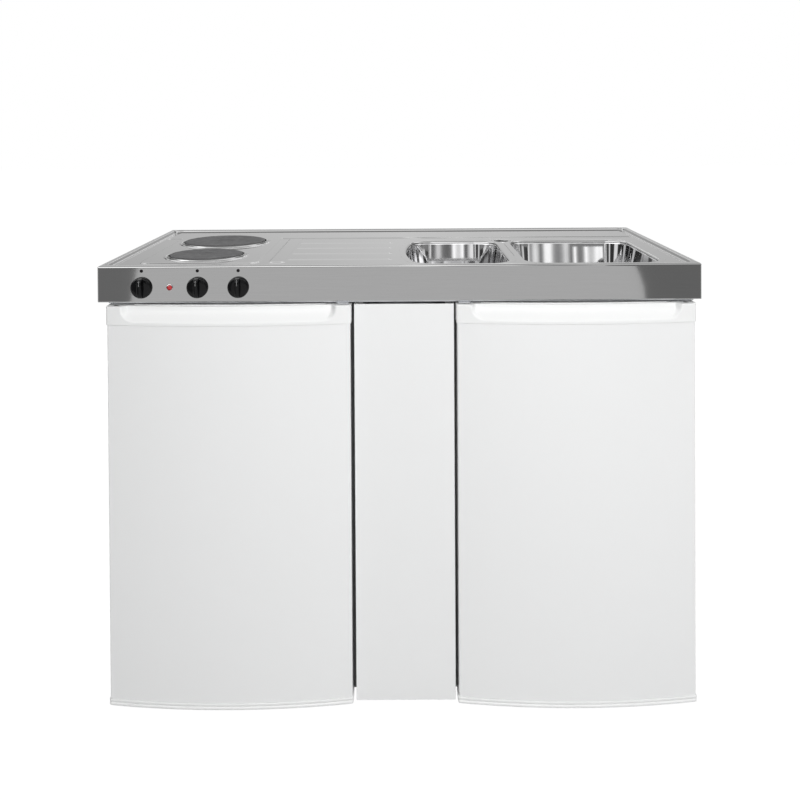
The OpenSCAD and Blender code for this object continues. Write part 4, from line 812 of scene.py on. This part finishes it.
# ---------------------------------------------------------------- camera, light and floor
def view_camera():
    """The photograph's camera, fitted to the worktop's corners: 1.816 m in front of the apron and
    1.19 m up, turned down 0.7 degrees, with the lens shifted down to frame the doors."""
    data = bpy.data.cameras.new("camera")
    data.sensor_width, data.lens, data.shift_y = 36.0, 41.27, -0.3376
    data.clip_end = 60.0
    camera = linked("camera", data)
    place = in_frame([2.7, -1815.7, 1189.3])
    camera.matrix_world = (Matrix.Translation(place)
                           @ Matrix.Rotation(math.radians(90 - 0.698), 4, "X")
                           @ Matrix.Rotation(math.radians(-0.332), 4, "Z"))
    bpy.context.scene.camera = camera


def soft_light(name, place, target, size, power):
    """A soft box that faces its target. Gloss shows the tones of the world in its stead."""
    data = bpy.data.lights.new(name, "AREA")
    data.shape = "RECTANGLE"
    data.size, data.size_y = size
    data.energy = power
    light = linked(name, data)
    light.visible_glossy = False
    facing = (Vector(target) - Vector(place)).to_track_quat("-Z", "Y").to_matrix().to_4x4()
    light.matrix_world = Matrix.Translation(place) @ facing


def band(tree, value, stops):
    """A grey ramp over a value from 0 to 1, from (position, tone) stops, whose first two are at
    0 and 1."""
    ramp = tree.nodes.new("ShaderNodeValToRGB")
    elements = ramp.color_ramp.elements
    for index, (place, tone) in enumerate(stops):
        element = elements[0] if index == 0 else elements[-1] if index == 1 else elements.new(place)
        element.color = (tone, tone, tone, 1)
    tree.links.new(value, ramp.inputs["Fac"])
    return ramp.outputs["Color"]


def sums(tree, operation, *values):
    """One math node on the given values, numbers or sockets."""
    node = tree.nodes.new("ShaderNodeMath")
    node.operation = operation
    for place, value in enumerate(values):
        if isinstance(value, (int, float)):
            node.inputs[place].default_value = value
        else:
            tree.links.new(value, node.inputs[place])
    return node.outputs[0]


def mixed(tree, share, one, other):
    """Two shaders mixed by a share."""
    node = tree.nodes.new("ShaderNodeMixShader")
    tree.links.new(share, node.inputs[0])
    tree.links.new(one, node.inputs[1])
    tree.links.new(other, node.inputs[2])
    return node.outputs[0]


def studio():
    """A photo studio. The camera sees plain white. The light is soft and even, a little stronger
    from the right, with a large soft box in front, a weak one overhead and one behind. What metal
    mirrors goes by the compass: the lit backdrop behind the unit is white, the room in front is
    dark with upright soft boxes, a broad light hangs overhead, and a strip light hangs high in
    front, to the left."""
    world = bpy.data.worlds.new("studio")
    bpy.context.scene.world = world
    world.use_nodes = True
    tree = world.node_tree
    tree.nodes.clear()
    out = tree.nodes.new("ShaderNodeOutputWorld")
    way = tree.nodes.new("ShaderNodeTexCoord")
    part = tree.nodes.new("ShaderNodeSeparateXYZ")
    tree.links.new(way.outputs["Generated"], part.inputs[0])
    x, y, z = part.outputs
    compass = sums(tree, "MULTIPLY_ADD", sums(tree, "ARCTAN2", x, sums(tree, "MULTIPLY", y, -1.0)),
                   1 / (2 * math.pi), 0.5)
    boxes = band(tree, compass, BOXES)
    around = sums(tree, "MULTIPLY_ADD", sums(tree, "SUBTRACT", band(tree, compass, WINDOWS), boxes),
                  band(tree, z, WINDOWS_FROM), boxes)
    around = sums(tree, "MULTIPLY", around, band(tree, z, LOW_SHADE))
    ahead = band(tree, sums(tree, "MULTIPLY_ADD", y, -0.5, 0.5), AHEAD)
    leftward = band(tree, sums(tree, "MULTIPLY_ADD", x, 0.5, 0.5), LEFTWARD)
    strip = sums(tree, "MULTIPLY", sums(tree, "MULTIPLY", ahead, leftward),
                 band(tree, z, STRIP_LIGHT))
    above = sums(tree, "MAXIMUM", band(tree, z, OVERHEAD), strip)
    tone = sums(tree, "MAXIMUM", sums(tree, "MAXIMUM", around, above), band(tree, z, HORIZON))
    lit, mirrored, white = background(tree), background(tree), background(tree)
    tree.links.new(sums(tree, "MULTIPLY_ADD", x, *AMBIENT), lit.inputs["Strength"])
    tree.links.new(tone, mirrored.inputs["Strength"])
    path = tree.nodes.new("ShaderNodeLightPath")
    through = sums(tree, "MAXIMUM", path.outputs["Is Camera Ray"],
                   path.outputs["Is Transmission Ray"])
    first = mixed(tree, path.outputs["Is Glossy Ray"], lit.outputs[0], mirrored.outputs[0])
    tree.links.new(mixed(tree, through, first, white.outputs[0]), out.inputs["Surface"])
    soft_light("overhead", (0.5, -0.9, 2.9), (0.1, 0, 0.8), (2.4, 1.6), 4)
    soft_light("front", (0.55, -2.9, 1.9), (0, -0.3, 0.75), (2.4, 2.0), 66)
    soft_light("behind", (-0.9, 3.0, 1.6), (0, 0.3, 0.5), (2.4, 2.0), 42)


def background(tree):
    """A white background node of strength 1."""
    node = tree.nodes.new("ShaderNodeBackground")
    node.inputs["Color"].default_value = (1, 1, 1, 1)
    node.inputs["Strength"].default_value = 1.0
    return node


def sheet(name, points):
    """A flat stage piece of one face, with an empty material. Gives back its object, the
    material's node tree and the socket that takes its shader."""
    mesh = bpy.data.meshes.new(name)
    mesh.from_pydata(points, [], [list(range(len(points)))])
    piece = linked(name, mesh)
    paint = bpy.data.materials.new(name)
    paint.use_nodes = True
    paint.node_tree.nodes.clear()
    mesh.materials.append(paint)
    out = paint.node_tree.nodes.new("ShaderNodeOutputMaterial")
    return piece, paint.node_tree, out.inputs["Surface"]


def flag(name, edge, far_x, y, tone):
    """A grey card in front of the unit, out of the camera's sight, that ends the white which the
    apron mirrors. Its inner side follows the edge's (x, z) points."""
    points = [(x, y, z) for x, z in edge] + [(far_x, y, edge[-1][1]), (far_x, y, edge[0][1])]
    card, tree, surface_in = sheet(name, points)
    glow = tree.nodes.new("ShaderNodeEmission")
    glow.inputs["Color"].default_value = (tone, tone, tone, 1)
    tree.links.new(glow.outputs[0], surface_in)
    card.visible_camera = card.visible_diffuse = card.visible_shadow = False


def floor():
    """A pale floor 40 m square, white to the camera and to gloss where it is unshaded: most of it
    glows there, and the rest keeps the object's shadow."""
    _, tree, surface_in = sheet("floor", [(-20, -20, 0), (20, -20, 0), (20, 20, 0), (-20, 20, 0)])
    matt = tree.nodes.new("ShaderNodeBsdfDiffuse")
    matt.inputs["Color"].default_value = (*FLOOR_GREY, 1)
    glow = tree.nodes.new("ShaderNodeEmission")
    glow.inputs["Strength"].default_value = FLOOR_GLOW
    path = tree.nodes.new("ShaderNodeLightPath")
    seen = sums(tree, "MAXIMUM", path.outputs["Is Camera Ray"], path.outputs["Is Glossy Ray"])
    share = sums(tree, "MULTIPLY", seen, GLOW_SHARE)
    tree.links.new(mixed(tree, share, matt.outputs[0], glow.outputs[0]), surface_in)


# Compass tones, first at due back, then past the left, the front at 0.5 and the right
BOXES = [(0.0, 0.80), (1.0, 0.80), (0.05, 0.60), (0.10, 0.42), (0.20, 0.36), (0.225, 0.05),
         (0.30, 0.04), (0.315, 1.1), (0.36, 1.1), (0.375, 0.05), (0.43, 0.05), (0.44, 1.0),
         (0.452, 1.0), (0.458, 0.12), (0.496, 0.10), (0.5035, 1.8), (0.5055, 1.8), (0.508, 0.20),
         (0.514, 0.10), (0.518, 1.7), (0.5215, 1.8), (0.524, 0.24), (0.530, 0.20), (0.5335, 1.8),
         (0.5375, 1.7), (0.5395, 0.10), (0.551, 0.06), (0.60, 0.10), (0.615, 1.1), (0.66, 0.05),
         (0.70, 1.2), (0.74, 0.04)]
# The same for what stands higher up
WINDOWS = [(0.0, 1.1), (1.0, 0.9), (0.07, 1.1), (0.075, 0.15), (0.09, 0.10), (0.095, 1.2),
           (0.11, 1.2), (0.116, 0.2), (0.20, 0.30), (0.25, 0.10), (0.30, 0.04), (0.315, 1.1),
           (0.36, 1.1), (0.375, 0.05), (0.50, 0.25), (0.66, 0.05), (0.70, 1.2), (0.74, 0.04),
           (0.90, 0.45), (0.948, 0.2), (0.952, 2.0), (0.955, 0.15), (0.9605, 0.2), (0.9625, 2.6),
           (0.9665, 2.6), (0.970, 0.40), (0.976, 0.5), (0.9785, 2.6), (0.982, 2.6), (0.986, 0.30),
           (0.992, 0.4), (0.9945, 2.6)]
# Tones by height, the sine of the angle over the horizon
WINDOWS_FROM = [(0.0, 0.0), (1.0, 1.0), (0.20, 0.0), (0.27, 1.0)]
LOW_SHADE = [(0.0, 0.7), (1.0, 1.0), (0.04, 0.7), (0.09, 1.0)]
OVERHEAD = [(0.0, 0.0), (1.0, 0.65), (0.50, 0.0), (0.56, 1.7), (0.76, 1.7), (0.84, 0.6)]
STRIP_LIGHT = [(0.0, 0.0), (1.0, 0.0), (0.28, 0.0), (0.33, 3.4), (0.70, 3.4), (0.76, 0.0)]
HORIZON = [(0.0, 0.9), (1.0, 0.0), (0.006, 0.9), (0.018, 0.0)]
# Where the strip light hangs: in front, and mostly to the left; 0.5 is neither side
AHEAD = [(0.0, 0.0), (1.0, 1.0), (0.50, 0.0), (0.56, 1.0)]
LEFTWARD = [(0.0, 1.0), (1.0, 0.25), (0.52, 1.0), (0.57, 0.25)]
AMBIENT = (0.20, 0.345)                      # growth of the even light to the right, and its level
# Inner edges of the cards that end the white in the apron, as (x, z) in metres, and their plane
CARD_LEFT = [(-1.22, 0.02), (-1.19, 0.387), (-1.16, 0.547), (-1.14, 1.2)]
CARD_RIGHT = [(1.10, 0.02), (1.083, 0.387), (1.076, 0.44), (1.056, 0.5), (1.034, 0.547), (1.0, 0.6),
              (0.9, 0.7), (0.9, 1.2)]
CARD_Y = -2.5
FLOOR_GREY, FLOOR_GLOW, GLOW_SHARE = (0.5, 0.5, 0.5), 1.23, 0.80
view_camera()
studio()
floor()
flag("card_left", CARD_LEFT, -3.4, CARD_Y, 0.33)
flag("card_right", CARD_RIGHT, 3.4, CARD_Y, 0.31)
bpy.context.scene.view_settings.view_transform = "Standard"
